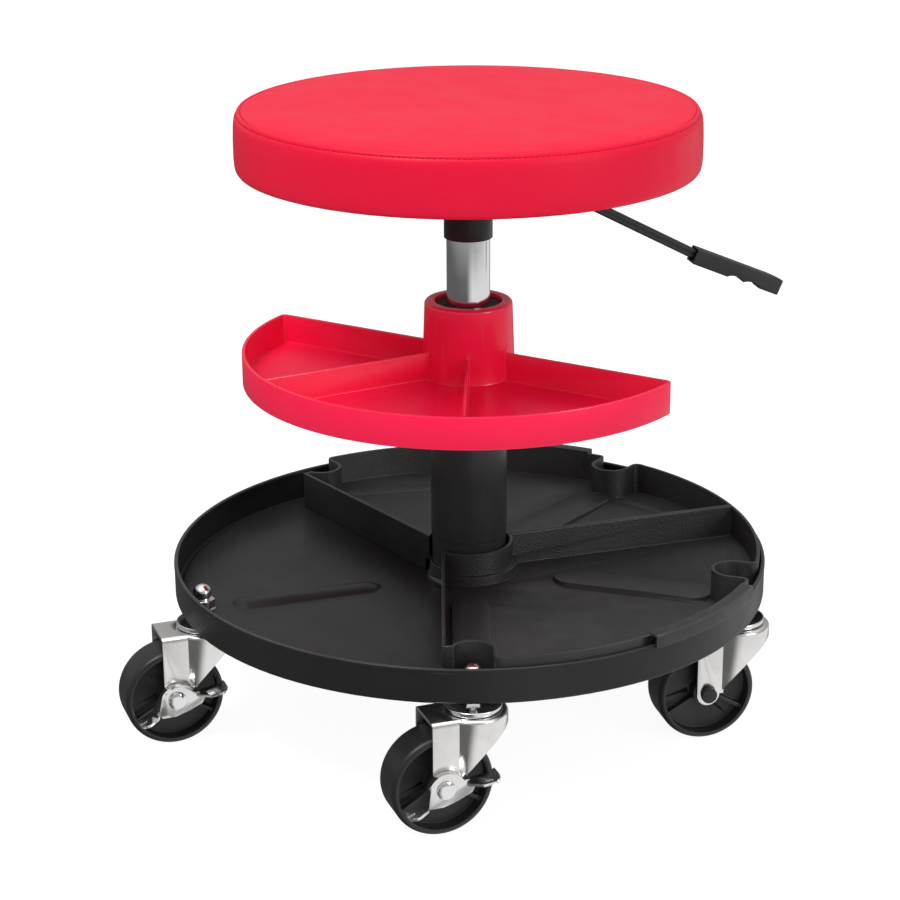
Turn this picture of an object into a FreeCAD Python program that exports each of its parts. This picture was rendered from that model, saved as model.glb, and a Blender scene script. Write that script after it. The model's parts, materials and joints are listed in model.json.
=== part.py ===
import FreeCAD, Part
import math
import os
import re
from types import SimpleNamespace

import Sketcher
from FreeCAD import Placement, Rotation, Vector

# A mechanic's rolling seat: padded seat on a gas lift, swivel tray, pan with two tool trays, five casters.
# Millimetres and degrees. The origin is on the floor under the column.
# +Z is up and -Y is the front caster's side.

# Driving dimensions, one table per piece or fit
sizes = {
    # Clearances shared by many pieces
    "running_gap": 0.05,
    "rest_gap": 0.3,
    "overrun": 5,
    # Casters: where they stand and how they are turned
    "caster_count": 5,
    "caster_inset": 16.7,
    "first_caster_angle": -90,
    "caster_heading": -160,
    "right_caster_angle": -6,
    "caster_trail": 28.7,
    # Wheel
    "wheel_radius": 39.2,
    "wheel_width": 31,
    "tread_round": 4,
    "rim_wall": 4.8,
    "web_thickness": 9,
    "wheel_hub_radius": 11,
    "wheel_hub_width": 31.4,
    "wheel_rib_count": 3,
    "wheel_rib_thickness": 3,
    "wheel_rib_width": 22,
    "wheel_rib_angle": 210,
    # Axle, its rivet heads and caps
    "axle_radius": 4,
    "rivet_head_radius": 5.1,
    "rivet_head_height": 2.4,
    "rivet_crown_share": 0.6,
    "pedal_rivet_radius": 6.3,
    "cap_wall": 1.2,
    # Yoke, pressed from one sheet
    "yoke_sheet": 2.5,
    "yoke_gap": 32,
    "yoke_leg_width": 18.2,
    "yoke_top": 91.2,
    "yoke_shoulder_radius": 25.5,
    "yoke_shoulder_round": 3,
    "yoke_well_radius": 22.3,
    "yoke_well_depth": 6,
    "yoke_bend": 4,
    "skirt_low": 41.5,
    "skirt_middle": 65,
    "skirt_high": 83,
    # Brake pedal
    "pedal_sheet": 2,
    "pedal_gap": 0.5,
    "pedal_relief": 3.2,
    "pedal_hump_radius": 12.5,
    "pedal_hump_depth": 5.5,
    "pedal_wing_depth": 14,
    "pedal_wing_round": 6,
    "pedal_hump_start": 150,
    "pedal_hump_end": 33,
    "pedal_hump_steps": 9,
    "near_pad_share": 1.45,
    "near_waist_share": 1,
    "far_waist_share": 1.15,
    "far_pad_share": 1.9,
    # Caster stem, nuts, washer and raceway
    "stem_radius": 5,
    "stem_head_radius": 8,
    "stem_head_height": 3,
    "stem_rise": 15.4,
    "nut_flats": 17,
    "nut_height": 8,
    "acorn_radius": 7,
    "acorn_height": 12,
    "washer_radius": 10,
    "washer_thickness": 1.5,
    "dish_radius": 21.3,
    "dish_floor_radius": 16,
    "dish_height": 7,
    "dish_flare_start": 2.3,
    "dish_flare_end": 3.5,
    "dish_sheet": 1.6,
    "raceway_ball_radius": 1.5,
    "raceway_ball_circle": 12,
    "raceway_ball_count": 14,
    # Base pan
    "pan_radius": 236.7,
    "pan_bottom": 102,
    "pan_sheet": 1.6,
    "pan_height": 26,
    "pan_wall": 2,
    "pan_corner": 2.5,
    "pan_groove_width": 6.2,
    "pan_groove_depth": 1.6,
    "pan_groove_slope": 45,
    "pan_hem": 2.4,
    "pan_hem_height": 3,
    "pan_rib_height": 4.3,
    "pan_rib_width": 25,
    "pan_rib_slope": 3,
    "pan_rib_start": 74,
    "pan_rib_inset": 38.7,
    # Column: gas lift tube, sleeve, foot and bush
    "column_radius": 25,
    "column_wall": 2,
    "column_bottom": 95,
    "column_floor": 3,
    "column_drop": 5,
    "sleeve_radius": 30.3,
    "sleeve_lower_radius": 29.6,
    "sleeve_step": 142,
    "sleeve_top": 271,
    "foot_radius": 34.5,
    "foot_edge": 2.5,
    "foot_height": 14.5,
    "bush_length": 60,
    "bush_flange": 2.5,
    # Lift: chrome cylinder, rod, piston, bearing and valve
    "cylinder_radius": 17,
    "cylinder_wall": 2,
    "cylinder_bottom": 159,
    "cylinder_drop": 17.5,
    "rod_radius": 5,
    "rod_end_radius": 4.4,
    "rod_tip": 91.3,
    "piston_bottom": 261,
    "piston_height": 10,
    "piston_ring_height": 3,
    "piston_ring_depth": 1.4,
    "guide_height": 20,
    "guide_inset": 2,
    "race_radius": 12,
    "race_height": 2,
    "thrust_ball_radius": 1.5,
    "thrust_ball_circle": 9,
    "thrust_ball_count": 12,
    "stop_radius": 10,
    "stop_height": 7,
    "clip_radius": 7.5,
    "clip_height": 1.5,
    "valve_height": 27,
    "valve_inset": 3,
    "pin_radius": 2.9,
    "pin_length": 30,
    # Swivel tray
    "tray_radius": 178,
    "tray_offset": 1,
    "tray_ring": 1.7,
    "tray_height": 25,
    "tray_floor": 2.5,
    "tray_wall": 2.5,
    "tray_chord": 1.2,
    "tray_corner": 5,
    "tray_heading": -31.9,
    "divider_wall": 2.2,
    "divider_drop": 1,
    "divider_spread": 30,
    "hub_height": 62,
    "hub_top_radius": 34.4,
    "hub_low_radius": 36.5,
    "hub_edge": 1.6,
    "hub_mouth_radius": 26.6,
    "hub_mouth_depth": 20,
    # Tool trays
    "tool_wall": 2.4,
    "tool_gap": 2.1,
    "tool_rim": 7,
    "tool_floor_height": 5.9,
    "tool_split_gap": 0.5,
    "tool_side": 22.3,
    "tool_collar_radius": 32.8,
    "tool_collar_foot": 37,
    "tool_ledge": 13.4,
    "notch_offset": 4,
    "notch_radius": 14.8,
    "notch_start": 5,
    "notch_corner": 6,
    "tool_pad_height": 3.5,
    "tool_pad_margin": 3,
    "tool_pad_slope": 1,
    "hook_start": -56,
    "hook_end": -26,
    "hook_reach": 3.5,
    "hook_rise": 1.8,
    "hook_drop": 8.6,
    "hook_edge": 0.8,
    # Seat cushion
    "seat_radius": 178,
    "seat_bottom": 443,
    "seat_height": 46,
    "seam_inset": 2.5,
    "seam_drop": 4.6,
    "crown_inset": 8,
    "crown_drop": 1.0,
    "side_shoulder": 6,
    "side_edge": 2.5,
    "vinyl": 1.5,
    "fold_width": 28,
    "board_inset": 6,
    "board_thickness": 12,
    "foam_gap": 0.1,
    "staple_count": 24,
    "staple_inset": 20,
    "staple_length": 10,
    "staple_wire": 1,
    # Seat plate, its bolts and tee nuts
    "plate_bolt_edge": 17.5,
    "plate_thickness": 3,
    "plate_corner": 12,
    "plate_bolt_spacing": 125,
    "bolt_radius": 3,
    "bolt_length": 14,
    "bolt_head_height": 4,
    "bolt_flats": 10,
    "plate_washer_radius": 6.5,
    "plate_washer_thickness": 1.2,
    "tee_flange_radius": 9,
    "tee_flange": 1.2,
    "tee_barrel_radius": 4.5,
    "tee_barrel": 9,
    # Socket and lever bracket
    "socket_radius": 18.9,
    "socket_depth": 39,
    "bracket_sheet": 2.5,
    "bracket_gap": 12.8,
    "bracket_inner": 22,
    "bracket_outer": 48,
    "bracket_floor_end": 30,
    "bracket_hole": 8,
    # Lever
    "lever_heading": 12,
    "lever_pivot_out": 30,
    "lever_pivot_drop": 7,
    "lever_pin_radius": 2.5,
    "finger_reach": 34,
    "finger_height": 6,
    "lever_width": 10,
    "lever_height": 7.6,
    "lever_round": 1.9,
    "lever_bend_out": 42,
    "lever_slope": -27.8,
    "lever_length": 166,
    "lever_groove": 0.7,
    "grip_slope": -22.9,
    "grip_length": 78,
    "grip_height": 12.6,
    "grip_width": 16,
    "grip_round": 12.8,
    "grip_cover": 8,
    "grip_socket_wall": 1.8,
    "scallop_length": 14.5,
    "scallop_depth": 2.6,
    "scallop_from_tip": 17,
}

# The pedal's line and its plate's outline, in shares of the hump's radius from the axle
pedal_far_shares = [(-3.1, 0.72), (-2.75, 0.48), (-1.7, 0.36), (-1.25, 0.2)]
pedal_near_shares = [(1.15, -0.05), (1.4, -0.55), (1.9, -0.92), (2.5, -1.14)]
pedal_plate_shares = [(-2, 0.4), (-1.6, -0.4), (-0.75, -0.8), (0.15, -1.08), (1, -1.08), (1.35, -0.5)]

doc = FreeCAD.newDocument("creeper_seat")
sheet = doc.addObject("Spreadsheet::Sheet", "sizes")
for row, (name, size) in enumerate(sizes.items(), start=1):
    sheet.set(f"A{row}", name)
    sheet.set(f"B{row}", str(size))
    sheet.setAlias(f"B{row}", name)
doc.recompute()

# Places worked out from the sheet, kept in one set so that pieces share them
derived = {
    "plate_side": "plate_bolt_spacing + 2 * plate_bolt_edge",
    "pan_floor": "pan_bottom + pan_sheet",
    "pan_top": "pan_bottom + pan_height",
    "caster_circle": "pan_radius - caster_inset",
    "pan_rib_end": "pan_radius - pan_rib_inset",
    "notch_circle": "caster_circle - notch_offset",
    "stem_top": "pan_floor + stem_rise",
    "stem_seat": "yoke_top - yoke_well_depth",
    "dish_bottom": "stem_seat + 2 * raceway_ball_radius + rest_gap",
    "axle_height": "wheel_radius",
    "yoke_side": "yoke_gap / 2 + yoke_sheet",
    "leg_end": "caster_trail + yoke_leg_width / 2",
    "column_bore": "column_radius - column_wall",
    "cylinder_bore": "cylinder_radius - cylinder_wall",
    "column_floor_top": "column_bottom + column_floor",
    "lower_race_top": "column_floor_top + race_height",
    "upper_race_bottom": "lower_race_top + 2 * thrust_ball_radius + rest_gap",
    "upper_race_top": "upper_race_bottom + race_height",
    "piston_top": "piston_bottom + piston_height",
    "guide_bottom": "cylinder_bottom + guide_inset",
    "tray_seat": "sleeve_top + tray_ring",
    "tray_bottom": "tray_seat + rest_gap",
    "tray_rim": "tray_bottom + tray_height",
    "hub_top": "tray_bottom + hub_height",
    "column_top": "hub_top - column_drop",
    "tray_bore": "column_radius + rest_gap",
    "tool_bottom": "pan_floor + rest_gap",
    "tool_floor_top": "pan_floor + tool_floor_height",
    "tool_top": "pan_top + tool_rim",
    "tool_radius": "pan_radius - pan_wall - tool_gap",
    "tool_ledge_bottom": "pan_floor + tool_ledge - tool_wall",
    "board_bottom": "seat_bottom + vinyl",
    "board_top": "board_bottom + board_thickness",
    "board_radius": "seat_radius - board_inset",
    "seat_top": "seat_bottom + seat_height",
    "seam_radius": "seat_radius - seam_inset",
    "seam_height": "seat_top - seam_drop",
    "crown_edge": "seat_radius - crown_inset",
    "side_inner": "seat_radius - vinyl",
    "plate_bottom": "board_bottom - plate_thickness",
    "lever_pivot_height": "plate_bottom - lever_pivot_drop",
    "pin_top": "lever_pivot_height - finger_height / 2 - rest_gap",
    "cylinder_top": "plate_bottom - cylinder_drop",
    "valve_top": "cylinder_top - valve_inset",
    "socket_bottom": "cylinder_top - socket_depth",
    "bracket_bottom": "cylinder_top + running_gap",
    "bracket_side": "bracket_gap / 2 + bracket_sheet",
}

places = doc.addObject("App::VarSet", "places")
owner = {name: "sizes" for name in sizes}


def linked(text):
    # Puts the owner's name before each named size, as the document's expressions need
    def full(match):
        word = match.group()
        return f"{owner[word]}.{word}" if word in owner else word
    return re.sub(r"[a-z][a-z_]*", full, text)


for name, text in derived.items():
    places.addProperty("App::PropertyFloat", name)
    places.setExpression(name, linked(text))
    owner[name] = "places"
probe = doc.addObject("App::VarSet", "probe")
probe.addProperty("App::PropertyFloat", "reading")
doc.recompute()

# The same named sizes as plain numbers, for shapes that Part's own functions make
n = SimpleNamespace(**{name: float(sheet.get(name)) for name in sizes})
for name in derived:
    setattr(n, name, getattr(places, name))

up = Vector(0, 0, 1)
origin = Vector(0, 0, 0)
nodes = []


def reading(text):
    probe.setExpression("reading", linked(text))
    probe.recompute()
    return probe.reading


def keep(piece, label):
    piece.Label = label
    nodes.append(piece)
    return piece


def feature(label, shape, placement=None):
    piece = doc.addObject("Part::Feature", label)
    piece.Shape = shape
    if placement is not None:
        piece.Placement = placement.multiply(piece.Placement)
    return keep(piece, label)


def plane_of(body, role):
    return next(item for item in body.Origin.OriginFeatures if item.Role == role)


def turned(label, outline):
    # A body spun about the upright axis; each corner of the outline is a radius and a height in named sizes
    body = doc.addObject("PartDesign::Body", label)
    sketch = body.newObject("Sketcher::SketchObject", f"{label}_outline")
    sketch.AttachmentSupport = [(plane_of(body, "XZ_Plane"), "")]
    sketch.MapMode = "FlatFace"
    corners = [Vector(reading(radius), reading(height), 0) for radius, height in outline]
    for index, corner in enumerate(corners):
        sketch.addGeometry(Part.LineSegment(corner, corners[(index + 1) % len(corners)]), False)
    for index in range(len(corners)):
        sketch.addConstraint(Sketcher.Constraint("Coincident", index, 2, (index + 1) % len(corners), 1))
    for index, (radius, height) in enumerate(outline):
        if radius == "0":
            sketch.addConstraint(Sketcher.Constraint("PointOnObject", index, 1, -2))
        else:
            across = sketch.addConstraint(Sketcher.Constraint("DistanceX", -1, 1, index, 1, corners[index].x))
            sketch.setExpression(f"Constraints[{across}]", linked(radius))
        upward = sketch.addConstraint(Sketcher.Constraint("DistanceY", -1, 1, index, 1, corners[index].y))
        sketch.setExpression(f"Constraints[{upward}]", linked(height))
    spin = body.newObject("PartDesign::Revolution", f"{label}_spin")
    spin.Profile = sketch
    spin.ReferenceAxis = (sketch, ["V_Axis"])
    spin.Angle = 360
    body.Tip = spin
    return keep(body, label)


def tube(label, inner, outer, bottom, top):
    return turned(label, [(inner, bottom), (outer, bottom), (outer, top), (inner, top)])


def loop(start, *legs):
    # A closed wire: each leg is an end point, or a middle point and an end point for an arc
    edges = []
    here = start
    for leg in (*legs, start):
        if isinstance(leg, tuple):
            edges.append(Part.Arc(here, *leg).toShape())
            here = leg[-1]
        elif not leg.isEqual(here, n.running_gap):
            edges.append(Part.makeLine(here, leg))
            here = leg
    return Part.Wire(edges)


def bent(start, end, centre):
    # The rest of a leg that rounds a corner: the arc's middle and its end
    lean = (start - centre) + (end - centre)
    lean.normalize()
    return centre + lean * (end - centre).Length, end


def sweep(start, heading, end):
    # An arc that leaves the start along the heading: its middle and end, and the heading at its end
    chord = end - start
    along = Vector(chord).normalize()
    side = (heading - along * heading.dot(along)).normalize()
    middle = start + chord * 0.5 + side * (chord.Length / 2 * math.tan(heading.getAngle(chord) / 2))
    return (middle, end), along * (2 * heading.dot(along)) - heading


def raised(wire, height):
    return Part.Face(wire).extrude(height)


def spun(start, *legs):
    return Part.Face(loop(start, *legs)).revolve(origin, up, 360)


def box(x, y, z):
    # A box between pairs of coordinates
    return Part.makeBox(x[1] - x[0], y[1] - y[0], z[1] - z[0], Vector(x[0], y[0], z[0]))


def rod(radius, bottom, top, centre=origin):
    return Part.makeCylinder(radius, top - bottom, Vector(centre.x, centre.y, bottom))


def crossbar(radius, x, z, start, end):
    # A cylinder along the local Y axis
    return Part.makeCylinder(radius, end - start, Vector(x, start, z), Vector(0, 1, 0))


def hexagon(flats, bottom, top):
    sides = 6
    corner = Vector(flats / 2 / math.cos(math.pi / sides), 0, bottom)
    points = [Rotation(up, index * 360 / sides).multVec(corner) for index in range(sides)]
    return raised(Part.makePolygon(points + points[:1]), Vector(0, 0, top - bottom))


def slot(length, width, height, bottom, slope=0):
    # A round-ended bar along X, from the middle of one end's arc, its sides leaning in by the slope
    def outline(inset, level):
        half = width / 2 - inset
        return loop(Vector(0, -half, level), Vector(length, -half, level),
                    (Vector(length + half, 0, level), Vector(length, half, level)),
                    Vector(0, half, level), (Vector(-half, 0, level), Vector(0, -half, level)))
    return Part.makeLoft([outline(0, bottom), outline(slope, bottom + height)], True, True)


def strip(points, thickness):
    # A bent sheet's section: the line through the points, thickened towards its left side
    offsets = []
    for index, point in enumerate(points):
        before = (point - points[max(index - 1, 0)]) if index else points[1] - point
        after = (points[index + 1] - point) if index + 1 < len(points) else before
        lean = before.normalize() + after.normalize()
        lean.normalize()
        side = Vector(-lean.z, 0, lean.x)
        offsets.append(point + side * (thickness / abs(side.dot(Vector(-before.z, 0, before.x)))))
    return Part.makePolygon(points + offsets[::-1] + points[:1])


def caster_spots():
    step = 360 / n.caster_count
    for index in range(int(n.caster_count)):
        angle = math.radians(n.first_caster_angle + index * step)
        yield Vector(n.caster_circle * math.cos(angle), n.caster_circle * math.sin(angle), 0)


def at_each(shape, spots):
    # One shape repeated as separate solids
    copies = []
    for spot in spots:
        copy = shape.copy()
        copy.translate(spot)
        copies.append(copy)
    return Part.makeCompound(copies)


def ring_of_balls(radius, circle, count, height):
    step = 2 * math.pi / count
    return Part.makeCompound([
        Part.makeSphere(radius, Vector(circle * math.cos(k * step), circle * math.sin(k * step), height))
        for k in range(int(count))
    ])


def base_pan():
    hub = n.column_radius + n.running_gap
    rim = n.pan_radius
    wall = rim - n.pan_wall
    hem = rim - n.pan_hem
    hem_middle = n.pan_top - n.pan_hem / 2
    hem_low = n.pan_top - n.pan_hem_height
    # The floor dips into a narrow groove along the wall's foot
    low = n.pan_bottom - n.pan_groove_depth
    groove = rim - n.pan_groove_width
    slope = math.radians(n.pan_groove_slope)
    dip = groove + n.pan_groove_depth / math.tan(slope)
    skew = n.pan_sheet * math.tan(slope / 2)
    bend_start = Vector(rim - n.pan_corner, 0, low)
    bend_end = Vector(rim, 0, low + n.pan_corner)
    shell = spun(
        Vector(hub, 0, n.pan_bottom),
        Vector(groove - skew, 0, n.pan_bottom),
        Vector(dip - skew, 0, low),
        bend_start,
        bent(bend_start, bend_end, bend_start + Vector(0, 0, n.pan_corner)),
        Vector(rim, 0, hem_middle),
        (Vector((rim + hem) / 2, 0, n.pan_top), Vector(hem, 0, hem_middle)),
        Vector(hem, 0, hem_low),
        Vector(wall, 0, hem_low),
        Vector(wall, 0, low + n.pan_corner),
        Vector(rim - n.pan_corner, 0, low + n.pan_sheet),
        Vector(dip, 0, low + n.pan_sheet),
        Vector(groove, 0, n.pan_floor),
        Vector(hub, 0, n.pan_floor),
    )
    half = n.pan_rib_width / 2
    length = n.pan_rib_end - n.pan_rib_start - n.pan_rib_width
    rib = slot(length, n.pan_rib_width, n.pan_rib_height + n.pan_sheet, n.pan_bottom, n.pan_rib_slope)
    hollow = slot(length, n.pan_rib_width - 2 * n.pan_sheet, n.pan_rib_height + n.overrun,
                  n.pan_bottom - n.overrun, n.pan_rib_slope)
    for shape in (rib, hollow):
        shape.translate(Vector(n.pan_rib_start + half, 0, 0))
    for index in range(int(n.caster_count)):
        turn = n.first_caster_angle + index * 360 / n.caster_count
        for shape, joined in ((rib, True), (hollow, False)):
            copy = shape.copy()
            copy.rotate(origin, up, turn)
            shell = shell.fuse(copy) if joined else shell.cut(copy)
    hole = rod(n.stem_radius + n.running_gap, n.pan_bottom - n.overrun, n.pan_floor + n.overrun)
    feature("base_pan", shell.cut(at_each(hole, caster_spots())).removeSplitter())


def column():
    turned("outer_column", [
        ("rod_radius + running_gap", "column_bottom"),
        ("column_radius", "column_bottom"),
        ("column_radius", "column_top"),
        ("column_bore", "column_top"),
        ("column_bore", "column_floor_top"),
        ("rod_radius + running_gap", "column_floor_top"),
    ])
    turned("column_sleeve", [
        ("column_radius + running_gap", "pan_floor"),
        ("sleeve_lower_radius", "pan_floor"),
        ("sleeve_lower_radius", "sleeve_step"),
        ("sleeve_radius", "sleeve_step"),
        ("sleeve_radius", "sleeve_top"),
        ("column_radius + running_gap", "sleeve_top"),
    ])
    turned("sleeve_foot", [
        ("sleeve_lower_radius + running_gap", "pan_floor"),
        ("foot_radius", "pan_floor"),
        ("foot_radius", "pan_floor + foot_edge"),
        ("sleeve_radius + foot_edge", "pan_floor + 2 * foot_edge"),
        ("sleeve_radius + foot_edge / 2", "pan_floor + foot_height"),
        ("sleeve_lower_radius + running_gap", "pan_floor + foot_height"),
    ])
    turned("guide_bush", [
        ("cylinder_radius + running_gap", "column_top - bush_length"),
        ("column_bore - running_gap", "column_top - bush_length"),
        ("column_bore - running_gap", "column_top"),
        ("column_radius", "column_top"),
        ("column_radius", "column_top + bush_flange"),
        ("cylinder_radius + running_gap", "column_top + bush_flange"),
    ])
    tube("tray_thrust_ring", "column_radius + running_gap", "sleeve_radius", "sleeve_top", "tray_seat")
    tube("lower_thrust_race", "rod_radius + running_gap", "race_radius", "column_floor_top", "lower_race_top")
    feature("thrust_balls", ring_of_balls(n.thrust_ball_radius, n.thrust_ball_circle, n.thrust_ball_count,
                                          n.lower_race_top + n.thrust_ball_radius + n.running_gap))


def spindle():
    turned("piston_rod", [
        ("0", "rod_tip"),
        ("rod_end_radius", "rod_tip"),
        ("rod_end_radius", "upper_race_top"),
        ("rod_radius", "upper_race_top"),
        ("rod_radius", "piston_top + rod_radius"),
        ("0", "piston_top + rod_radius"),
    ])
    tube("upper_thrust_race", "rod_end_radius + running_gap", "race_radius",
         "upper_race_bottom", "upper_race_top")
    tube("bump_stop", "rod_radius + running_gap", "stop_radius",
         "upper_race_top", "upper_race_top + stop_height")
    tube("rod_clip", "rod_end_radius + running_gap", "clip_radius",
         "column_bottom - rest_gap - clip_height", "column_bottom - rest_gap")
    turned("piston", [
        ("rod_radius + running_gap", "piston_bottom"),
        ("cylinder_bore - running_gap", "piston_bottom"),
        ("cylinder_bore - running_gap", "piston_bottom + piston_ring_height"),
        ("cylinder_bore - piston_ring_depth", "piston_bottom + piston_ring_height"),
        ("cylinder_bore - piston_ring_depth", "piston_bottom + 2 * piston_ring_height"),
        ("cylinder_bore - running_gap", "piston_bottom + 2 * piston_ring_height"),
        ("cylinder_bore - running_gap", "piston_top"),
        ("rod_radius + running_gap", "piston_top"),
    ])
    tube("piston_ring", "cylinder_bore - piston_ring_depth", "cylinder_bore - running_gap",
         "piston_bottom + piston_ring_height", "piston_bottom + 2 * piston_ring_height")


def lift():
    tube("gas_cylinder", "cylinder_bore", "cylinder_radius", "cylinder_bottom", "cylinder_top")
    tube("rod_guide", "rod_radius + running_gap", "cylinder_bore",
         "guide_bottom", "guide_bottom + guide_height")
    tube("valve_body", "pin_radius + running_gap", "cylinder_bore",
         "valve_top - valve_height", "valve_top")
    turned("valve_pin", [("0", "pin_top - pin_length"), ("pin_radius", "pin_top - pin_length"),
                         ("pin_radius", "pin_top"), ("0", "pin_top")])
    tube("seat_socket", "cylinder_radius + running_gap", "socket_radius", "socket_bottom", "bracket_bottom")


def seat_cushion():
    # The top panel is crowned, the side band turns in at both edges, and the two meet at the seam
    def crown(lowered):
        top = Vector(0, 0, n.seat_top - lowered)
        edge = Vector(n.crown_edge, 0, top.z - n.crown_drop)
        dome, heading = sweep(top, Vector(1, 0, 0), edge)
        rounding, heading = sweep(edge, heading, Vector(n.seam_radius, 0, n.seam_height - lowered))
        return top, dome, rounding

    top, dome, rounding = crown(0)
    under, under_dome, under_rounding = crown(n.vinyl)
    feature("seat_top_panel", spun(
        top, dome, rounding, under_rounding[1], (under_rounding[0], under_dome[1]), (under_dome[0], under),
    ))
    seam = rounding[1]
    seam_under = seam - Vector(0, 0, n.vinyl + n.running_gap)
    shoulder = Vector(n.seat_radius, 0, seam_under.z - n.side_shoulder)
    hem = Vector(n.seat_radius, 0, n.seat_bottom + n.side_edge)
    turn_in = Vector(n.seat_radius - n.side_edge, 0, n.seat_bottom)
    fold_end = n.seat_radius - n.fold_width
    inner_shoulder = Vector(n.side_inner, 0, shoulder.z - n.vinyl)
    feature("seat_side_band", spun(
        Vector(n.seam_radius - n.vinyl, 0, seam_under.z - n.vinyl),
        seam_under,
        bent(seam_under, shoulder, Vector(n.seam_radius, 0, shoulder.z)),
        hem,
        bent(hem, turn_in, Vector(turn_in.x, 0, hem.z)),
        Vector(fold_end, 0, n.seat_bottom),
        Vector(fold_end, 0, n.board_bottom),
        Vector(turn_in.x, 0, n.board_bottom),
        Vector(n.side_inner, 0, hem.z),
        inner_shoulder,
    ))
    gap = n.foam_gap
    foam_top, foam_dome, _ = crown(n.vinyl + gap)
    foam_side = n.side_inner - n.vinyl - gap
    feature("seat_foam", spun(
        foam_top, foam_dome,
        Vector(foam_side, 0, shoulder.z - 2 * n.vinyl), Vector(foam_side, 0, n.board_top + gap),
        Vector(0, 0, n.board_top + gap),
    ))
    bolt_spots = plate_bolt_spots()
    board = spun(Vector(0, 0, n.board_bottom), Vector(n.board_radius, 0, n.board_bottom),
                 Vector(n.board_radius, 0, n.board_top), Vector(0, 0, n.board_top))
    room = rod(n.tee_barrel_radius + n.running_gap, n.board_bottom - n.overrun, n.board_top + n.overrun)
    room = room.fuse(rod(n.tee_flange_radius + n.running_gap, n.board_top - n.tee_flange,
                         n.board_top + n.overrun))
    feature("seat_board", board.cut(at_each(room, bolt_spots)))
    tee = rod(n.tee_flange_radius, n.board_top - n.tee_flange, n.board_top)
    tee = tee.fuse(rod(n.tee_barrel_radius, n.board_top - n.tee_barrel, n.board_top))
    tee = tee.cut(rod(n.bolt_radius + n.running_gap, n.board_bottom - n.overrun, n.board_top + n.overrun))
    feature("tee_nuts", at_each(tee.removeSplitter(), bolt_spots))
    staples = []
    step = 360 / n.staple_count
    half = n.staple_length / 2
    for index in range(int(n.staple_count)):
        staple = box((-n.staple_wire / 2, n.staple_wire / 2), (-half, half),
                     (n.seat_bottom - n.staple_wire, n.seat_bottom))
        staple.translate(Vector(n.seat_radius - n.staple_inset, 0, 0))
        staple.rotate(origin, up, index * step)
        staples.append(staple)
    feature("cover_staples", Part.makeCompound(staples))


def plate_bolt_spots():
    half = n.plate_bolt_spacing / 2
    turn = Rotation(up, n.lever_heading)
    return [turn.multVec(Vector(x * half, y * half, 0)) for x in (-1, 1) for y in (-1, 1)]


def seat_plate():
    turn = Rotation(up, n.lever_heading)
    half = n.plate_side / 2
    plate = box((-half, half), (-half, half), (n.plate_bottom, n.board_bottom))
    uprights = [edge for edge in plate.Edges if edge.Vertexes[0].X == edge.Vertexes[1].X and
                edge.Vertexes[0].Y == edge.Vertexes[1].Y]
    plate = plate.makeFillet(n.plate_corner, uprights)
    plate.Placement = Placement(origin, turn)
    hole = rod(n.bolt_radius + n.rest_gap, n.plate_bottom - n.overrun, n.board_bottom + n.overrun)
    feature("seat_plate", plate.cut(at_each(hole, plate_bolt_spots())))
    head_top = n.plate_bottom - n.plate_washer_thickness
    bolt = rod(n.bolt_radius, head_top, head_top + n.bolt_length)
    bolt = bolt.fuse(hexagon(n.bolt_flats, head_top - n.bolt_head_height, head_top)).removeSplitter()
    feature("plate_bolts", at_each(bolt, plate_bolt_spots()))
    washer = rod(n.plate_washer_radius, head_top, n.plate_bottom)
    washer = washer.cut(rod(n.bolt_radius + n.running_gap, head_top - n.overrun, n.plate_bottom + n.overrun))
    feature("plate_washers", at_each(washer, plate_bolt_spots()))


def lever_bracket():
    # A channel under the seat plate: its floor carries the socket and its cheeks carry the lever's pivot pin
    low = n.bracket_bottom
    across = (-n.bracket_side, n.bracket_side)
    floor = box((-n.bracket_inner, n.bracket_floor_end), across, (low, low + n.bracket_sheet))
    cheeks = box((-n.bracket_inner, n.bracket_outer), across, (low, n.plate_bottom))
    between = box((-n.bracket_inner - n.overrun, n.bracket_outer + n.overrun),
                  (-n.bracket_gap / 2, n.bracket_gap / 2), (low - n.overrun, n.plate_bottom + n.overrun))
    cheeks = cheeks.cut(between)
    collar = rod(n.socket_radius, low, low + n.bracket_sheet)
    channel = cheeks.fuse(floor).fuse(collar)
    channel = channel.cut(rod(n.bracket_hole, low - n.overrun, low + n.overrun))
    pin_hole = crossbar(n.lever_pin_radius + n.running_gap, n.lever_pivot_out, n.lever_pivot_height,
                        -n.bracket_side - n.overrun, n.bracket_side + n.overrun)
    turn = Placement(origin, Rotation(up, n.lever_heading))
    feature("lever_bracket", channel.cut(pin_hole).removeSplitter(), turn)
    pin = crossbar(n.lever_pin_radius, n.lever_pivot_out, n.lever_pivot_height,
                   -n.bracket_side, n.bracket_side)
    feature("lever_pin", pin, turn)


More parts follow.
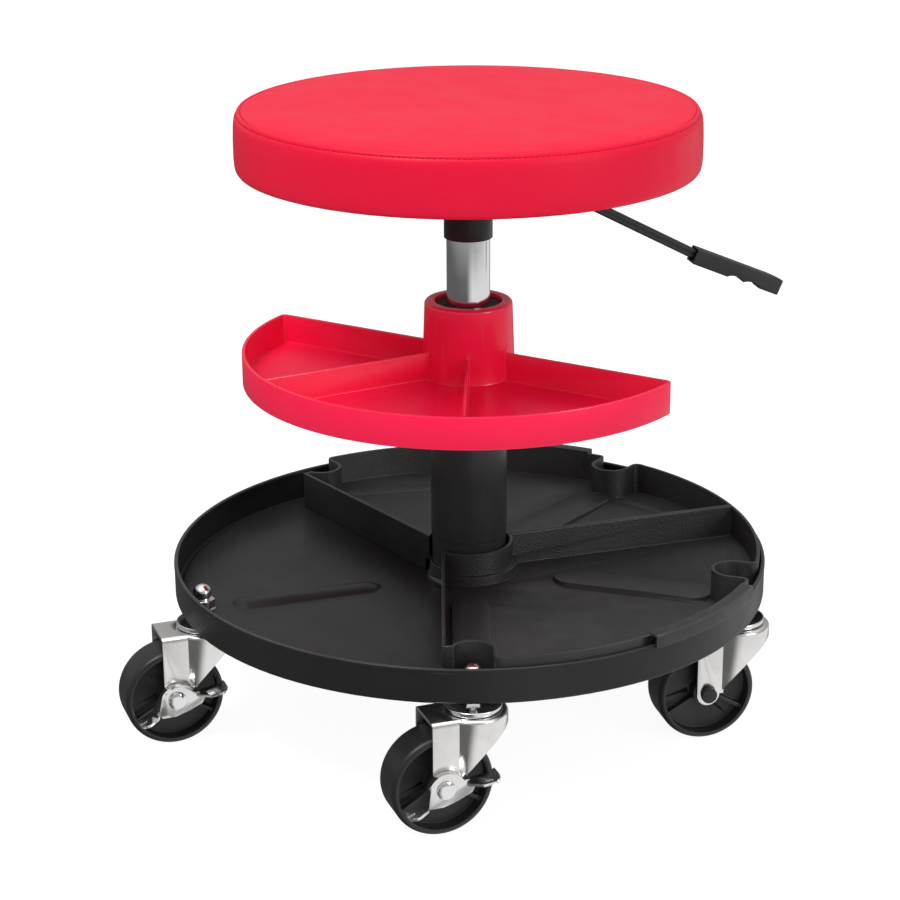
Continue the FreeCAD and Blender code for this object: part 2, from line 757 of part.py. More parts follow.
def lever():
    turn = Placement(origin, Rotation(up, n.lever_heading))
    half = n.lever_width / 2
    bend = Vector(n.lever_bend_out, 0, n.lever_pivot_height)
    slope = Rotation(Vector(0, 1, 0), -n.lever_slope)
    bar = box((0, n.lever_length), (-half, half), (-n.lever_height / 2, n.lever_height / 2))
    long_edges = [edge for edge in bar.Edges if edge.Length > n.lever_length - n.lever_width]
    bar = bar.makeFillet(n.lever_round, long_edges)
    for side in (-half, half):
        bar = bar.cut(box((n.lever_width, n.lever_length + n.overrun),
                          (side - n.lever_groove, side + n.lever_groove), (-n.lever_groove, n.lever_groove)))
    bar.Placement = Placement(bend, slope)
    finger = box((n.lever_pivot_out - n.finger_reach, n.lever_bend_out + n.lever_height / 2), (-half, half),
                 (n.lever_pivot_height - n.finger_height / 2, n.lever_pivot_height + n.finger_height / 2))
    pin_hole = crossbar(n.lever_pin_radius + n.running_gap, n.lever_pivot_out, n.lever_pivot_height,
                        -half - n.overrun, half + n.overrun)
    feature("lever_rod", bar.fuse(finger).cut(pin_hole).removeSplitter(), turn)
    # The grip is a block with two finger scallops below; the bar's end sits in its open socket
    bar_end = bend + slope.multVec(Vector(n.lever_length, 0, 0))
    tall = n.grip_height / 2
    tip = n.grip_length
    second = tip - n.scallop_from_tip
    first = second - n.scallop_length
    start = first - n.scallop_length
    dip = Vector(0, 0, n.scallop_depth)
    half_way = Vector(n.scallop_length / 2, 0, 0)

    def low(x):
        return Vector(x, -n.grip_width / 2, -tall)

    side = loop(
        low(0), low(start),
        (low(start) + half_way + dip, low(first)),
        (low(first) + half_way + dip, low(second)),
        low(tip), Vector(tip, -n.grip_width / 2, tall), Vector(0, -n.grip_width / 2, tall),
    )
    grip = raised(side, Vector(0, n.grip_width, 0))
    far_tip = []
    for edge in grip.Edges:
        middle = edge.CenterOfMass
        at_side = middle.y > n.grip_width / 2 - n.running_gap
        if middle.x > tip - n.running_gap and at_side and abs(middle.z) < tall / 2:
            far_tip.append(edge)
    grip = grip.makeFillet(n.grip_round, far_tip)
    wall = n.grip_socket_wall
    grip = grip.cut(box((-n.overrun, n.grip_cover + n.rest_gap),
                        (wall - n.grip_width / 2, n.grip_width / 2 - wall), (wall - tall, tall - wall)))
    grip.Placement = Placement(bar_end, Rotation(Vector(0, 1, 0), -n.grip_slope)).multiply(
        Placement(Vector(-n.grip_cover, 0, 0), Rotation()))
    feature("lever_grip", grip, turn)


def swivel_tray():
    def region(inset, bottom, top):
        disc = rod(n.tray_radius - inset, bottom, top, Vector(n.tray_offset, 0, 0))
        edge = -n.tray_chord - inset
        half = disc.cut(box((-n.tray_radius * 2, n.tray_radius * 2), (edge, n.tray_radius * 2),
                            (bottom - n.overrun, top + n.overrun)))
        corners = [item for item in half.Edges if abs(item.CenterOfMass.y - edge) < n.running_gap
                   and abs(item.CenterOfMass.x) > n.tray_radius / 2]
        return half.makeFillet(n.tray_corner - inset, corners)

    tray = region(0, n.tray_bottom, n.tray_rim)
    tray = tray.cut(region(n.tray_wall, n.tray_bottom + n.tray_floor, n.tray_rim + n.overrun))
    walls = region(n.tray_wall / 2, n.tray_bottom, n.tray_rim - n.divider_drop)
    for turn in (-n.divider_spread, n.divider_spread):
        divider = box((-n.divider_wall / 2, n.divider_wall / 2), (-n.tray_radius, -n.hub_top_radius / 2),
                      (n.tray_bottom + n.tray_floor / 2, n.tray_rim - n.divider_drop))
        divider.rotate(origin, up, turn)
        tray = tray.fuse(divider.common(walls))
    hub = spun(
        Vector(0, 0, n.tray_bottom),
        Vector(n.hub_low_radius, 0, n.tray_bottom),
        Vector(n.hub_low_radius, 0, n.tray_bottom + n.tray_floor),
        Vector(n.hub_top_radius, 0, n.hub_top - n.hub_edge),
        Vector(n.hub_top_radius - n.hub_edge, 0, n.hub_top),
        Vector(0, 0, n.hub_top),
    )
    tray = tray.fuse(hub)
    tray = tray.cut(rod(n.tray_bore, n.tray_bottom - n.overrun, n.hub_top + n.overrun))
    tray = tray.cut(rod(n.hub_mouth_radius, n.hub_top - n.hub_mouth_depth, n.hub_top + n.overrun))
    feature("swivel_tray", tray.removeSplitter(), Placement(origin, Rotation(up, n.tray_heading)))


def tool_trays():
    step = 360 / n.caster_count
    turns = (n.first_caster_angle, n.first_caster_angle + step)
    split = turns[1] + step / 2
    spots = [Rotation(up, turn).multVec(Vector(n.notch_circle, 0, 0)) for turn in turns]
    wide = n.pan_radius * 2

    def region(inset, bottom, top, collar):
        # The plan of the front tray, drawn in by the inset on every side
        low = bottom - n.overrun
        high = top + n.overrun
        shape = rod(n.tool_radius - inset, bottom, top)
        shape = shape.cut(box((-wide, -n.tool_side + inset), (-wide, wide), (low, high)))
        beyond = box((-wide, wide), (-n.tool_split_gap - inset, wide), (low, high))
        beyond.rotate(origin, up, split)
        shape = shape.cut(beyond).cut(rod(collar + inset, low, high))
        notch = n.notch_radius + inset
        for spot, turn in zip(spots, turns):
            channel = box((0, wide), (-notch, notch), (low, high))
            channel.rotate(origin, up, turn)
            channel.translate(Vector(spot.x, spot.y, 0))
            shape = shape.cut(channel).cut(rod(notch, low, high, spot))
        first = spots[0]
        side = box((-wide, first.x), (-wide, first.y + n.notch_start + inset), (low, high))
        shape = shape.cut(side)
        rim = n.tool_radius - inset
        mouths = []
        for edge in shape.Edges:
            middle = Vector(edge.CenterOfMass.x, edge.CenterOfMass.y, 0)
            upright = abs(edge.Vertexes[0].Z - edge.Vertexes[-1].Z) > n.running_gap
            at_rim = abs(middle.Length - rim) < n.running_gap
            if upright and at_rim and any((middle - spot).Length < 2 * notch for spot in spots):
                mouths.append(edge)
        return shape.makeFillet(n.notch_corner - inset, mouths)

    ledge = n.tool_ledge_bottom
    tray = region(0, n.tool_bottom, ledge, n.tool_collar_foot)
    tray = tray.fuse(region(0, ledge, n.tool_top, n.tool_collar_radius))
    tray = tray.cut(region(n.tool_wall, n.tool_floor_top, ledge + n.tool_wall, n.tool_collar_foot))
    tray = tray.cut(region(n.tool_wall, ledge + n.tool_wall, n.tool_top + n.overrun, n.tool_collar_radius))
    below = n.tool_bottom - n.overrun
    tray = tray.cut(region(n.tool_wall, below, n.tool_floor_top - n.tool_wall, n.tool_collar_foot))
    # Raised pads in the tray's floor clear the pan's ribs
    margin = 2 * n.tool_pad_margin
    length = n.pan_rib_end - n.pan_rib_start - n.pan_rib_width
    pad = slot(length, n.pan_rib_width + margin, n.tool_pad_height, n.tool_floor_top, n.tool_pad_slope)
    pocket = slot(length, n.pan_rib_width + margin - 2 * n.tool_wall, n.tool_pad_height + n.tool_wall,
                  n.tool_floor_top - 2 * n.tool_wall, n.tool_pad_slope)
    within = region(n.tool_wall / 2, n.tool_bottom, n.tool_top, n.tool_collar_foot)
    for turn in turns:
        for shape, joined in ((pad, True), (pocket, False)):
            copy = shape.copy()
            copy.translate(Vector(n.pan_rib_start + n.pan_rib_width / 2, 0, 0))
            copy.rotate(origin, up, turn)
            copy = copy.common(within)
            tray = tray.fuse(copy) if joined else tray.cut(copy)
    # A hook on the outer wall reaches over the pan's rim
    outer = n.pan_radius + n.hook_reach
    inner = n.tool_radius - n.tool_wall
    crest = n.tool_top + n.hook_rise
    lip = outer - n.tool_wall
    hook = Part.Face(loop(
        Vector(inner, 0, n.tool_top - n.tool_wall), Vector(n.tool_radius, 0, n.tool_top - n.tool_wall),
        Vector(n.tool_radius, 0, crest - n.tool_wall), Vector(lip, 0, crest - n.tool_wall),
        Vector(lip, 0, n.tool_top - n.hook_drop), Vector(outer, 0, n.tool_top - n.hook_drop),
        Vector(outer, 0, crest - n.hook_edge), Vector(outer - n.hook_edge, 0, crest), Vector(inner, 0, crest),
    )).revolve(origin, up, n.hook_end - n.hook_start)
    hook.rotate(origin, up, n.hook_start)
    tray = tray.fuse(hook).removeSplitter()
    feature("tool_tray_front", tray)
    turn = math.radians(split)
    feature("tool_tray_rear", tray.mirror(origin, Vector(-math.sin(turn), math.cos(turn), 0)))


def caster_hardware():
    spots = list(caster_spots())
    head_top = n.stem_seat - n.yoke_sheet - n.rest_gap
    stem = rod(n.stem_radius, head_top - n.stem_head_height, n.stem_top)
    stem = stem.fuse(rod(n.stem_head_radius, head_top - n.stem_head_height, head_top)).removeSplitter()
    feature("caster_stems", at_each(stem, spots))
    bore = rod(n.stem_radius + n.running_gap, n.pan_bottom - n.nut_height - n.overrun,
               n.stem_top + n.running_gap)
    jam = hexagon(n.nut_flats, n.pan_bottom - n.nut_height, n.pan_bottom).cut(bore)
    seat = n.pan_floor + n.washer_thickness
    acorn = hexagon(n.nut_flats, seat, seat + n.nut_height)
    dome_centre = seat + n.nut_height + n.acorn_height - n.acorn_radius
    dome = Part.makeSphere(n.acorn_radius, Vector(0, 0, dome_centre))
    acorn = acorn.fuse(rod(n.acorn_radius, seat, dome_centre)).fuse(dome).cut(bore).removeSplitter()
    feature("stem_nuts", Part.makeCompound([*at_each(jam, spots).Solids, *at_each(acorn, spots).Solids]))
    washer = rod(n.washer_radius, n.pan_floor, seat).cut(bore)
    feature("stem_washers", at_each(washer, spots))
    # The raceway dish is a flared cup on the stem, with the balls between it and the yoke's well
    low = n.dish_bottom
    wall = n.dish_sheet
    lip = low + n.dish_height
    inside = n.dish_radius - wall
    dish = spun(
        Vector(n.stem_radius + n.running_gap, 0, low),
        Vector(n.dish_floor_radius, 0, low),
        Vector(inside, 0, low + n.dish_flare_start),
        Vector(n.dish_radius, 0, low + n.dish_flare_end),
        Vector(n.dish_radius, 0, lip - wall / 2),
        (Vector(n.dish_radius - wall / 2, 0, lip), Vector(inside, 0, lip - wall / 2)),
        Vector(inside, 0, low + n.dish_flare_end),
        Vector(n.dish_floor_radius, 0, low + wall),
        Vector(n.stem_radius + n.running_gap, 0, low + wall),
    )
    feature("raceway_dishes", at_each(dish, spots))
    balls = ring_of_balls(n.raceway_ball_radius, n.raceway_ball_circle, n.raceway_ball_count,
                          n.dish_bottom - n.running_gap - n.raceway_ball_radius)
    feature("raceway_balls", Part.makeCompound([solid for group in (at_each(balls, [spot]) for spot in spots)
                                                for solid in group.Solids]))


def yoke_shape():
    # In the caster's own frame: the stem stands at the origin and the wheel trails along +X
    thick = n.yoke_sheet
    side = n.yoke_side
    inner = n.yoke_gap / 2
    top = n.yoke_top
    radius = n.yoke_shoulder_radius
    fold = math.sqrt(radius ** 2 - side ** 2)
    start = fold - thick / 2
    axle = n.axle_height
    bend = n.yoke_bend

    def arch(half, crest, rounding):
        # One side of the bent sheet's section, from one leg's foot over the top to the other's
        inset = half - rounding
        shoulder = crest - rounding
        rise = Vector(start, -half, shoulder)
        fall = Vector(start, inset, crest)
        return [
            Vector(start, -half, axle),
            rise,
            bent(rise, Vector(start, -inset, crest), Vector(start, -inset, shoulder)),
            fall,
            bent(fall, Vector(start, half, shoulder), Vector(start, inset, shoulder)),
            Vector(start, half, axle),
        ]

    opening = arch(inner, top - thick, bend - thick)
    channel = raised(loop(*arch(side, top, bend)), Vector(n.leg_end - start, 0, 0))
    channel = channel.cut(raised(loop(*opening), Vector(n.leg_end, 0, 0)))
    rounds = crossbar(n.yoke_leg_width / 2, n.caster_trail, axle, -side, side)
    rounds = rounds.cut(box((0, n.leg_end + n.overrun), (-inner, inner), (0, top)))
    shoulder = Vector(radius, 0, top - n.yoke_shoulder_round)
    shoulder_end = Vector(radius - n.yoke_shoulder_round, 0, top)
    cup = spun(
        Vector(0, 0, n.skirt_low), Vector(radius, 0, n.skirt_low), shoulder,
        bent(shoulder, shoulder_end, Vector(shoulder_end.x, 0, shoulder.z)), Vector(0, 0, top),
    )
    shell = cup.cut(rod(radius - thick, n.skirt_low - n.overrun, top - thick))
    behind = box((fold, radius + n.overrun), (-radius * 2, radius * 2), (0, top - thick))
    mouth = box((start, radius + n.overrun), (-inner, inner), (0, top - thick))
    # The skirt's lower edge climbs from the fold to the front in one curve
    aside = -radius * 2
    clear = -radius - n.overrun
    climb = loop(
        Vector(fold, aside, n.skirt_low),
        (Vector(0, aside, n.skirt_middle), Vector(-radius, aside, n.skirt_high)),
        Vector(clear, aside, n.skirt_high),
        Vector(clear, aside, 0),
        Vector(fold, aside, 0),
    )
    shell = shell.cut(behind).cut(mouth).cut(raised(climb, Vector(0, -2 * aside, 0)))
    yoke = channel.fuse(rounds).fuse(shell)
    # The bearing's well is pressed into the top
    well = n.yoke_well_radius
    well_floor = n.stem_seat - thick
    yoke = yoke.fuse(rod(well, well_floor, top - thick / 2))
    yoke = yoke.cut(rod(well - thick / 2, n.stem_seat, top + n.overrun))
    yoke = yoke.cut(rod(n.stem_radius + n.running_gap, well_floor - n.overrun, top + n.overrun))
    hole = crossbar(n.axle_radius + n.running_gap, n.caster_trail, axle, -side - n.overrun, side + n.overrun)
    return yoke.cut(hole).removeSplitter()


def wheel_shape():
    # Spun about the upright axis at the origin, then laid on the axle
    radius = n.wheel_radius
    half = n.wheel_width / 2
    hub = n.wheel_hub_width / 2
    web = n.web_thickness / 2
    inner = radius - n.rim_wall
    bore = n.axle_radius + n.running_gap
    tread = half - n.tread_round
    shoulder = radius - n.tread_round
    upper = [Vector(bore, 0, hub), Vector(n.wheel_hub_radius, 0, hub), Vector(n.wheel_hub_radius, 0, web),
             Vector(inner, 0, web), Vector(inner, 0, half), Vector(shoulder, 0, half)]
    lower = [Vector(point.x, 0, -point.z) for point in reversed(upper)]
    wheel = spun(
        *upper,
        bent(upper[-1], Vector(radius, 0, tread), Vector(shoulder, 0, tread)),
        Vector(radius, 0, -tread),
        bent(Vector(radius, 0, -tread), lower[0], Vector(shoulder, 0, -tread)),
        *lower[1:],
    )
    for index in range(int(n.wheel_rib_count)):
        rib = box((n.wheel_hub_radius - n.running_gap, inner + n.running_gap),
                  (-n.wheel_rib_thickness / 2, n.wheel_rib_thickness / 2),
                  (-n.wheel_rib_width / 2, n.wheel_rib_width / 2))
        rib.rotate(origin, up, n.wheel_rib_angle + index * 360 / n.wheel_rib_count)
        wheel = wheel.fuse(rib)
    wheel = wheel.removeSplitter()
    wheel.rotate(origin, Vector(1, 0, 0), 90)
    wheel.translate(Vector(n.caster_trail, 0, n.axle_height))
    return wheel


def rivet_head(radius, face, outward):
    # A domed head on the axle's end
    half = n.rivet_head_height / 2
    axis = Vector(0, outward, 0)
    start = Vector(n.caster_trail, face, n.axle_height)
    base = Part.makeCylinder(radius, half, start, axis)
    return base.fuse(Part.makeCone(radius, radius * n.rivet_crown_share, half, start + axis * half, axis))


def axle_shape(near_radius, near_face):
    far_face = -n.yoke_side
    axle = crossbar(n.axle_radius, n.caster_trail, n.axle_height, far_face, near_face)
    axle = axle.fuse(rivet_head(near_radius, near_face, 1))
    return axle.fuse(rivet_head(n.rivet_head_radius, far_face, -1)).removeSplitter()


def cap_shape():
    # A plastic cap over each rivet head
    def block(outward, margin):
        start = Vector(n.caster_trail, outward * n.yoke_side, n.axle_height)
        return Part.makeCylinder(n.rivet_head_radius + margin, n.rivet_head_height + margin, start,
                                 Vector(0, outward, 0))

    return Part.makeCompound([
        block(outward, n.cap_wall).cut(block(outward, n.running_gap)) for outward in (-1, 1)
    ])


def pedal_shape():
    # A flat plate round the axle with a flange that bends out into two foot pads, one on each side
    thick = n.pedal_sheet
    hump = n.pedal_hump_radius
    back = n.yoke_side + n.pedal_gap
    centre = Vector(n.caster_trail, back, n.axle_height)

    def spot(x, z):
        # A place on the plate's back, in shares of the hump's radius from the axle
        return centre + Vector(x * hump, 0, z * hump)

    def around(share):
        angle = math.radians(n.pedal_hump_start + (n.pedal_hump_end - n.pedal_hump_start) * share)
        return spot(math.cos(angle), math.sin(angle))

    steps = int(n.pedal_hump_steps)
    line = [spot(*shares) for shares in pedal_far_shares]
    line += [around(index / steps) for index in range(steps + 1)]
    line += [spot(*shares) for shares in pedal_near_shares]
    flange = Part.Face(strip(line, thick)).extrude(Vector(0, thick + n.pedal_wing_depth, 0))
    # Seen from above, the flange is narrow over the axle and widens into a rounded pad at each end
    shallow = back + n.pedal_hump_depth
    deep = back + thick + n.pedal_wing_depth
    corner = deep - n.pedal_wing_round

    def plan_spot(x, y):
        return Vector(centre.x + x, y, 0)

    near_tip = hump * pedal_near_shares[-1][0]
    near_pad = near_tip - n.pedal_wing_round
    far_tip = hump * pedal_far_shares[0][0]
    far_pad = far_tip + n.pedal_wing_round
    plan = loop(
        plan_spot(far_tip, back),
        plan_spot(near_tip, back),
        plan_spot(near_tip, corner),
        bent(plan_spot(near_tip, corner), plan_spot(near_pad, deep), plan_spot(near_pad, corner)),
        plan_spot(hump * n.near_pad_share, deep),
        plan_spot(hump * n.near_waist_share, shallow),
        plan_spot(-hump * n.far_waist_share, shallow),
        plan_spot(-hump * n.far_pad_share, deep),
        plan_spot(far_pad, deep),
        bent(plan_spot(far_pad, deep), plan_spot(far_tip, corner), plan_spot(far_pad, corner)),
    )
    flange = flange.common(raised(plan, Vector(0, 0, 2 * centre.z)))
    outline = loop(*[spot(*shares) for shares in pedal_plate_shares], around(1), (around(1 / 2), around(0)))
    pedal = raised(outline, Vector(0, thick, 0)).fuse(flange)
    hole = crossbar(n.axle_radius + n.running_gap, centre.x, centre.z, back - n.overrun, back + n.overrun)
    return pedal.cut(hole).removeSplitter()


def casters():
    # Casters are numbered from the front one towards the right; the front one and the left one have a brake
    yoke = yoke_shape()
    wheel = wheel_shape()
    pedal = pedal_shape()
    pedal_face = n.yoke_side + n.pedal_gap + n.pedal_sheet + n.running_gap
    plain_axle = axle_shape(n.rivet_head_radius, n.yoke_side)
    braked_axle = axle_shape(n.pedal_rivet_radius, pedal_face)
    right = 2
    braked = (1, int(n.caster_count))
    # On a braked caster the skirt is cut away where the pedal tilts past it
    relief = n.pedal_hump_radius + n.pedal_sheet + n.pedal_relief
    braked_yoke = yoke.cut(crossbar(relief, n.caster_trail, n.axle_height, n.yoke_side,
                                    n.yoke_shoulder_radius + n.overrun))
    for number, spot in enumerate(caster_spots(), start=1):
        turn = n.caster_heading + (n.right_caster_angle if number == right else 0)
        here = Placement(spot, Rotation(up, turn))
        feature(f"caster_yoke_{number}", braked_yoke if number in braked else yoke, here)
        feature(f"caster_wheel_{number}", wheel, here)
        feature(f"caster_axle_{number}", braked_axle if number in braked else plain_axle, here)
        if number in braked:
            feature(f"brake_pedal_{number}", pedal, here)
        else:
            feature(f"axle_caps_{number}", cap_shape(), here)


base_pan()
column()
spindle()
lift()
seat_cushion()
seat_plate()
lever_bracket()
lever()
swivel_tray()
tool_trays()
caster_hardware()
casters()
doc.recompute()

# Every object is sound before anything is written
faults = [item.Label for item in doc.Objects if "Invalid" in item.State or "Error" in item.State]
for piece in nodes:
    if piece.Shape.isNull() or not piece.Shape.isValid() or not piece.Shape.Solids:
        faults.append(piece.Label)
if faults:
    raise RuntimeError("faulty pieces: " + ", ".join(faults))
os.makedirs("parts", exist_ok=True)
for piece in nodes:
    piece.Shape.exportStep(os.path.join("parts", f"{piece.Label}.step"))
    print(piece.Label, len(piece.Shape.Solids), "solids,", round(piece.Shape.Volume), "cubic mm")
print(len(nodes), "pieces")
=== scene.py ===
import json
import math
import random

import bmesh
import bpy
from mathutils import Matrix, Vector


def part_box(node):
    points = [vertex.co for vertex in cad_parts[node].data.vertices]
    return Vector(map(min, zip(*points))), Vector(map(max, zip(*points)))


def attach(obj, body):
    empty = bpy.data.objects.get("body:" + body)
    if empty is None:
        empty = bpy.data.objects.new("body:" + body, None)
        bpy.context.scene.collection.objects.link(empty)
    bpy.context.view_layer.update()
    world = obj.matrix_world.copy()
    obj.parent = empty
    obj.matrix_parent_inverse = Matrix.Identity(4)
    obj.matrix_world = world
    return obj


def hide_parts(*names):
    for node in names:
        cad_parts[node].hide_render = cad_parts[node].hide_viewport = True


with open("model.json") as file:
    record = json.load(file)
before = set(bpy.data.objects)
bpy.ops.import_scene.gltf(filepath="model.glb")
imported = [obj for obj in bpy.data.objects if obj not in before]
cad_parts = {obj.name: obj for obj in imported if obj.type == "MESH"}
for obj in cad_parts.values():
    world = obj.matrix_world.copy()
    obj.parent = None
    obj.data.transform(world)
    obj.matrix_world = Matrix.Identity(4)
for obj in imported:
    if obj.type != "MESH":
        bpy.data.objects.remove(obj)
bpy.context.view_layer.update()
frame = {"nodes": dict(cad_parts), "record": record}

mm = 0.001
nodes = frame["nodes"]
bodyOf = {node: body for body, members in frame["record"]["behaviour"]["bodies"].items() for node in members}
slotOf = {part["node"]: part["material_slot"] for part in frame["record"]["subparts"]}
random.seed(7)


camera = {
    "place": (-21.4, -1753.7, 829.06),  # mm
    "yaw": 0.21,
    "pitch": 19.42,
    "roll": -0.31,
    "lens": 93.47,
    "film": 36,
    "reach": 30,  # m
}
eye = bpy.data.objects.new("viewCamera", bpy.data.cameras.new("viewCamera"))
bpy.context.scene.collection.objects.link(eye)
eye.data.lens = camera["lens"]
eye.data.sensor_width = camera["film"]
eye.data.clip_end = camera["reach"]
eye.matrix_world = (
    Matrix.Translation(Vector(camera["place"]) * mm)
    @ Matrix.Rotation(math.radians(-camera["yaw"]), 4, "Z")
    @ Matrix.Rotation(math.radians(90 - camera["pitch"]), 4, "X")
    @ Matrix.Rotation(math.radians(camera["roll"]), 4, "Z")
)
bpy.context.scene.camera = eye
bpy.context.scene.view_settings.view_transform = "Standard"
print("camera set")


class Value:
    # a shader socket that takes part in sums
    def __init__(self, paint, socket):
        self.paint = paint
        self.socket = socket

    def sum(self, operation, first, second):
        return self.paint.node("ShaderNodeMath", {"operation": operation}, {0: first, 1: second})

    def __add__(self, other):
        return self.sum("ADD", self, other)

    def __sub__(self, other):
        return self.sum("SUBTRACT", self, other)

    def __rsub__(self, other):
        return self.sum("SUBTRACT", other, self)

    def __mul__(self, other):
        return self.sum("MULTIPLY", self, other)

    __radd__ = __add__
    __rmul__ = __mul__


class Paint:
    # the node tree of one material or of the world
    def __init__(self, tree):
        self.tree = tree

    def node(self, kind, settings=None, inputs=None, output=0):
        made = self.tree.nodes.new(kind)
        for key, value in (settings or {}).items():
            if key == "stops":
                ramp = made.color_ramp.elements
                while len(ramp) < len(value):
                    ramp.new(0.5)
                for stop, (position, colour) in zip(ramp, value):
                    stop.position = position
                    stop.color = (*colour, 1)
            else:
                setattr(made, key, value)
        for key, value in (inputs or {}).items():
            self.feed(made.inputs[key], value)
        return Value(self, made.outputs[output])

    def feed(self, socket, value):
        if isinstance(value, Value):
            self.tree.links.new(value.socket, socket)
        elif isinstance(value, tuple) and socket.type == "RGBA":
            socket.default_value = (*value, 1)
        else:
            socket.default_value = value

    def mixColour(self, factor, first, second):
        return self.node("ShaderNodeMix", {"data_type": "RGBA"}, {0: factor, 6: first, 7: second}, 2)

    def place(self):
        return self.node("ShaderNodeTexCoord", output=3)

    def noise(self, scale, detail=2, stretch=None):
        where = self.place()
        if stretch:
            where = self.node("ShaderNodeMapping", {}, {"Vector": where, "Scale": stretch})
        return self.node("ShaderNodeTexNoise", {}, {"Vector": where, "Scale": scale, "Detail": detail})

    def cells(self, scale, feature="SMOOTH_F1"):
        inputs = {"Vector": self.place(), "Scale": scale}
        return self.node("ShaderNodeTexVoronoi", {"feature": feature}, inputs)

    def ramped(self, value, low, high, toLow=0, toHigh=1):
        # a smooth step from low to high
        inputs = {"Value": value, "From Min": low, "From Max": high, "To Min": toLow, "To Max": toHigh}
        return self.node("ShaderNodeMapRange", {"interpolation_type": "SMOOTHSTEP"}, inputs)

    def bump(self, height, strength, distance):
        return self.node("ShaderNodeBump", {}, {"Height": height, "Strength": strength, "Distance": distance})


light = {
    "fill": 0.65,  # the world's share on dull surfaces
    "bounce": 0.66,  # the floor's tone
    "floorSize": 24,
    "floorSeen": 0.93,  # the floor's glow in the camera
    "floorShade": 0.22,  # how much light of the lamps it adds there, and so how dark the shadow is
    # what gloss sees: a floor dim on the left and bright on the right, a pale horizon, a bright overhead
    "floorDim": 0.13,
    "floorBright": 0.88,
    "brightSide": (0.97, -0.24),
    "brightEdge": (0.04, 0.6),
    "floorTop": (-0.12, 0.05),
    "horizon": 0.38,
    "overhead": 1.0,
    "overheadEdge": (0.45, 0.9),
    "keys": {
        # name: (place, size, power), all aimed at one point
        "topBox": ((0.1, -0.3, 2.5), 1.7, 12),
        "rightBox": ((1.9, -1.6, 1.1), 1.1, 14),
        "leftBox": ((-0.9, -1.0, 2.3), 1.0, 27),
    },
    "aim": (0, 0, 0.3),
}


def rayMasks(paint):
    names = ("Is Camera Ray", "Is Glossy Ray", "Is Transmission Ray")
    seenByCamera, glossy, through = (paint.node("ShaderNodeLightPath", output=name) for name in names)
    return seenByCamera, glossy + through


def lightWorld():
    world = bpy.data.worlds.new("studio")
    bpy.context.scene.world = world
    world.use_nodes = True
    paint = Paint(world.node_tree)
    seenByCamera, shiny = rayMasks(paint)
    ray = paint.node("ShaderNodeTexCoord", output="Generated")
    height = paint.node("ShaderNodeSeparateXYZ", {}, {0: ray}, "Z")
    flat = paint.node("ShaderNodeVectorMath", {"operation": "MULTIPLY"}, {0: ray, 1: (1, 1, 0)})
    way = paint.node("ShaderNodeVectorMath", {"operation": "NORMALIZE"}, {0: flat})
    bright = (*light["brightSide"], 0)
    side = paint.node("ShaderNodeVectorMath", {"operation": "DOT_PRODUCT"}, {0: way, 1: bright}, "Value")
    floor = paint.ramped(side, *light["brightEdge"], light["floorDim"], light["floorBright"])
    sky = paint.ramped(height, *light["overheadEdge"], light["horizon"], light["overhead"])
    above = paint.ramped(height, *light["floorTop"])
    seen = above * sky + (1 - above) * floor
    level = seenByCamera * (1 - light["fill"]) + shiny * (seen - light["fill"]) + light["fill"]
    background = world.node_tree.nodes["Background"].inputs
    paint.feed(background["Color"], paint.mixColour(level, (0, 0, 0), (1, 1, 1)))
    background["Strength"].default_value = 1


def lightFloor():
    bpy.ops.mesh.primitive_plane_add(size=light["floorSize"])
    ground = bpy.context.object
    ground.name = "ground"
    ground.visible_glossy = False
    stuff = bpy.data.materials.new("ground")
    stuff.use_nodes = True
    paint = Paint(stuff.node_tree)
    seenByCamera, shiny = rayMasks(paint)
    surface = stuff.node_tree.nodes["Principled BSDF"].inputs
    surface["Roughness"].default_value = 1
    surface["Specular IOR Level"].default_value = 0
    tone, shade, glow = ((light[key],) * 3 for key in ("bounce", "floorShade", "floorSeen"))
    paint.feed(surface["Base Color"], paint.mixColour(seenByCamera, tone, shade))
    paint.feed(surface["Emission Color"], paint.mixColour(seenByCamera, (0, 0, 0), glow))
    surface["Emission Strength"].default_value = 1
    ground.data.materials.append(stuff)


def lightKeys():
    for name, (place, size, power) in light["keys"].items():
        lamp = bpy.data.lights.new(name, "AREA")
        lamp.shape = "DISK"
        lamp.size = size
        lamp.energy = power
        holder = bpy.data.objects.new(name, lamp)
        bpy.context.scene.collection.objects.link(holder)
        holder.location = place
        holder.rotation_mode = "QUATERNION"
        holder.rotation_quaternion = (Vector(light["aim"]) - Vector(place)).to_track_quat("-Z", "Y")


lightWorld()
lightFloor()
lightKeys()
print("light set")


# finishes

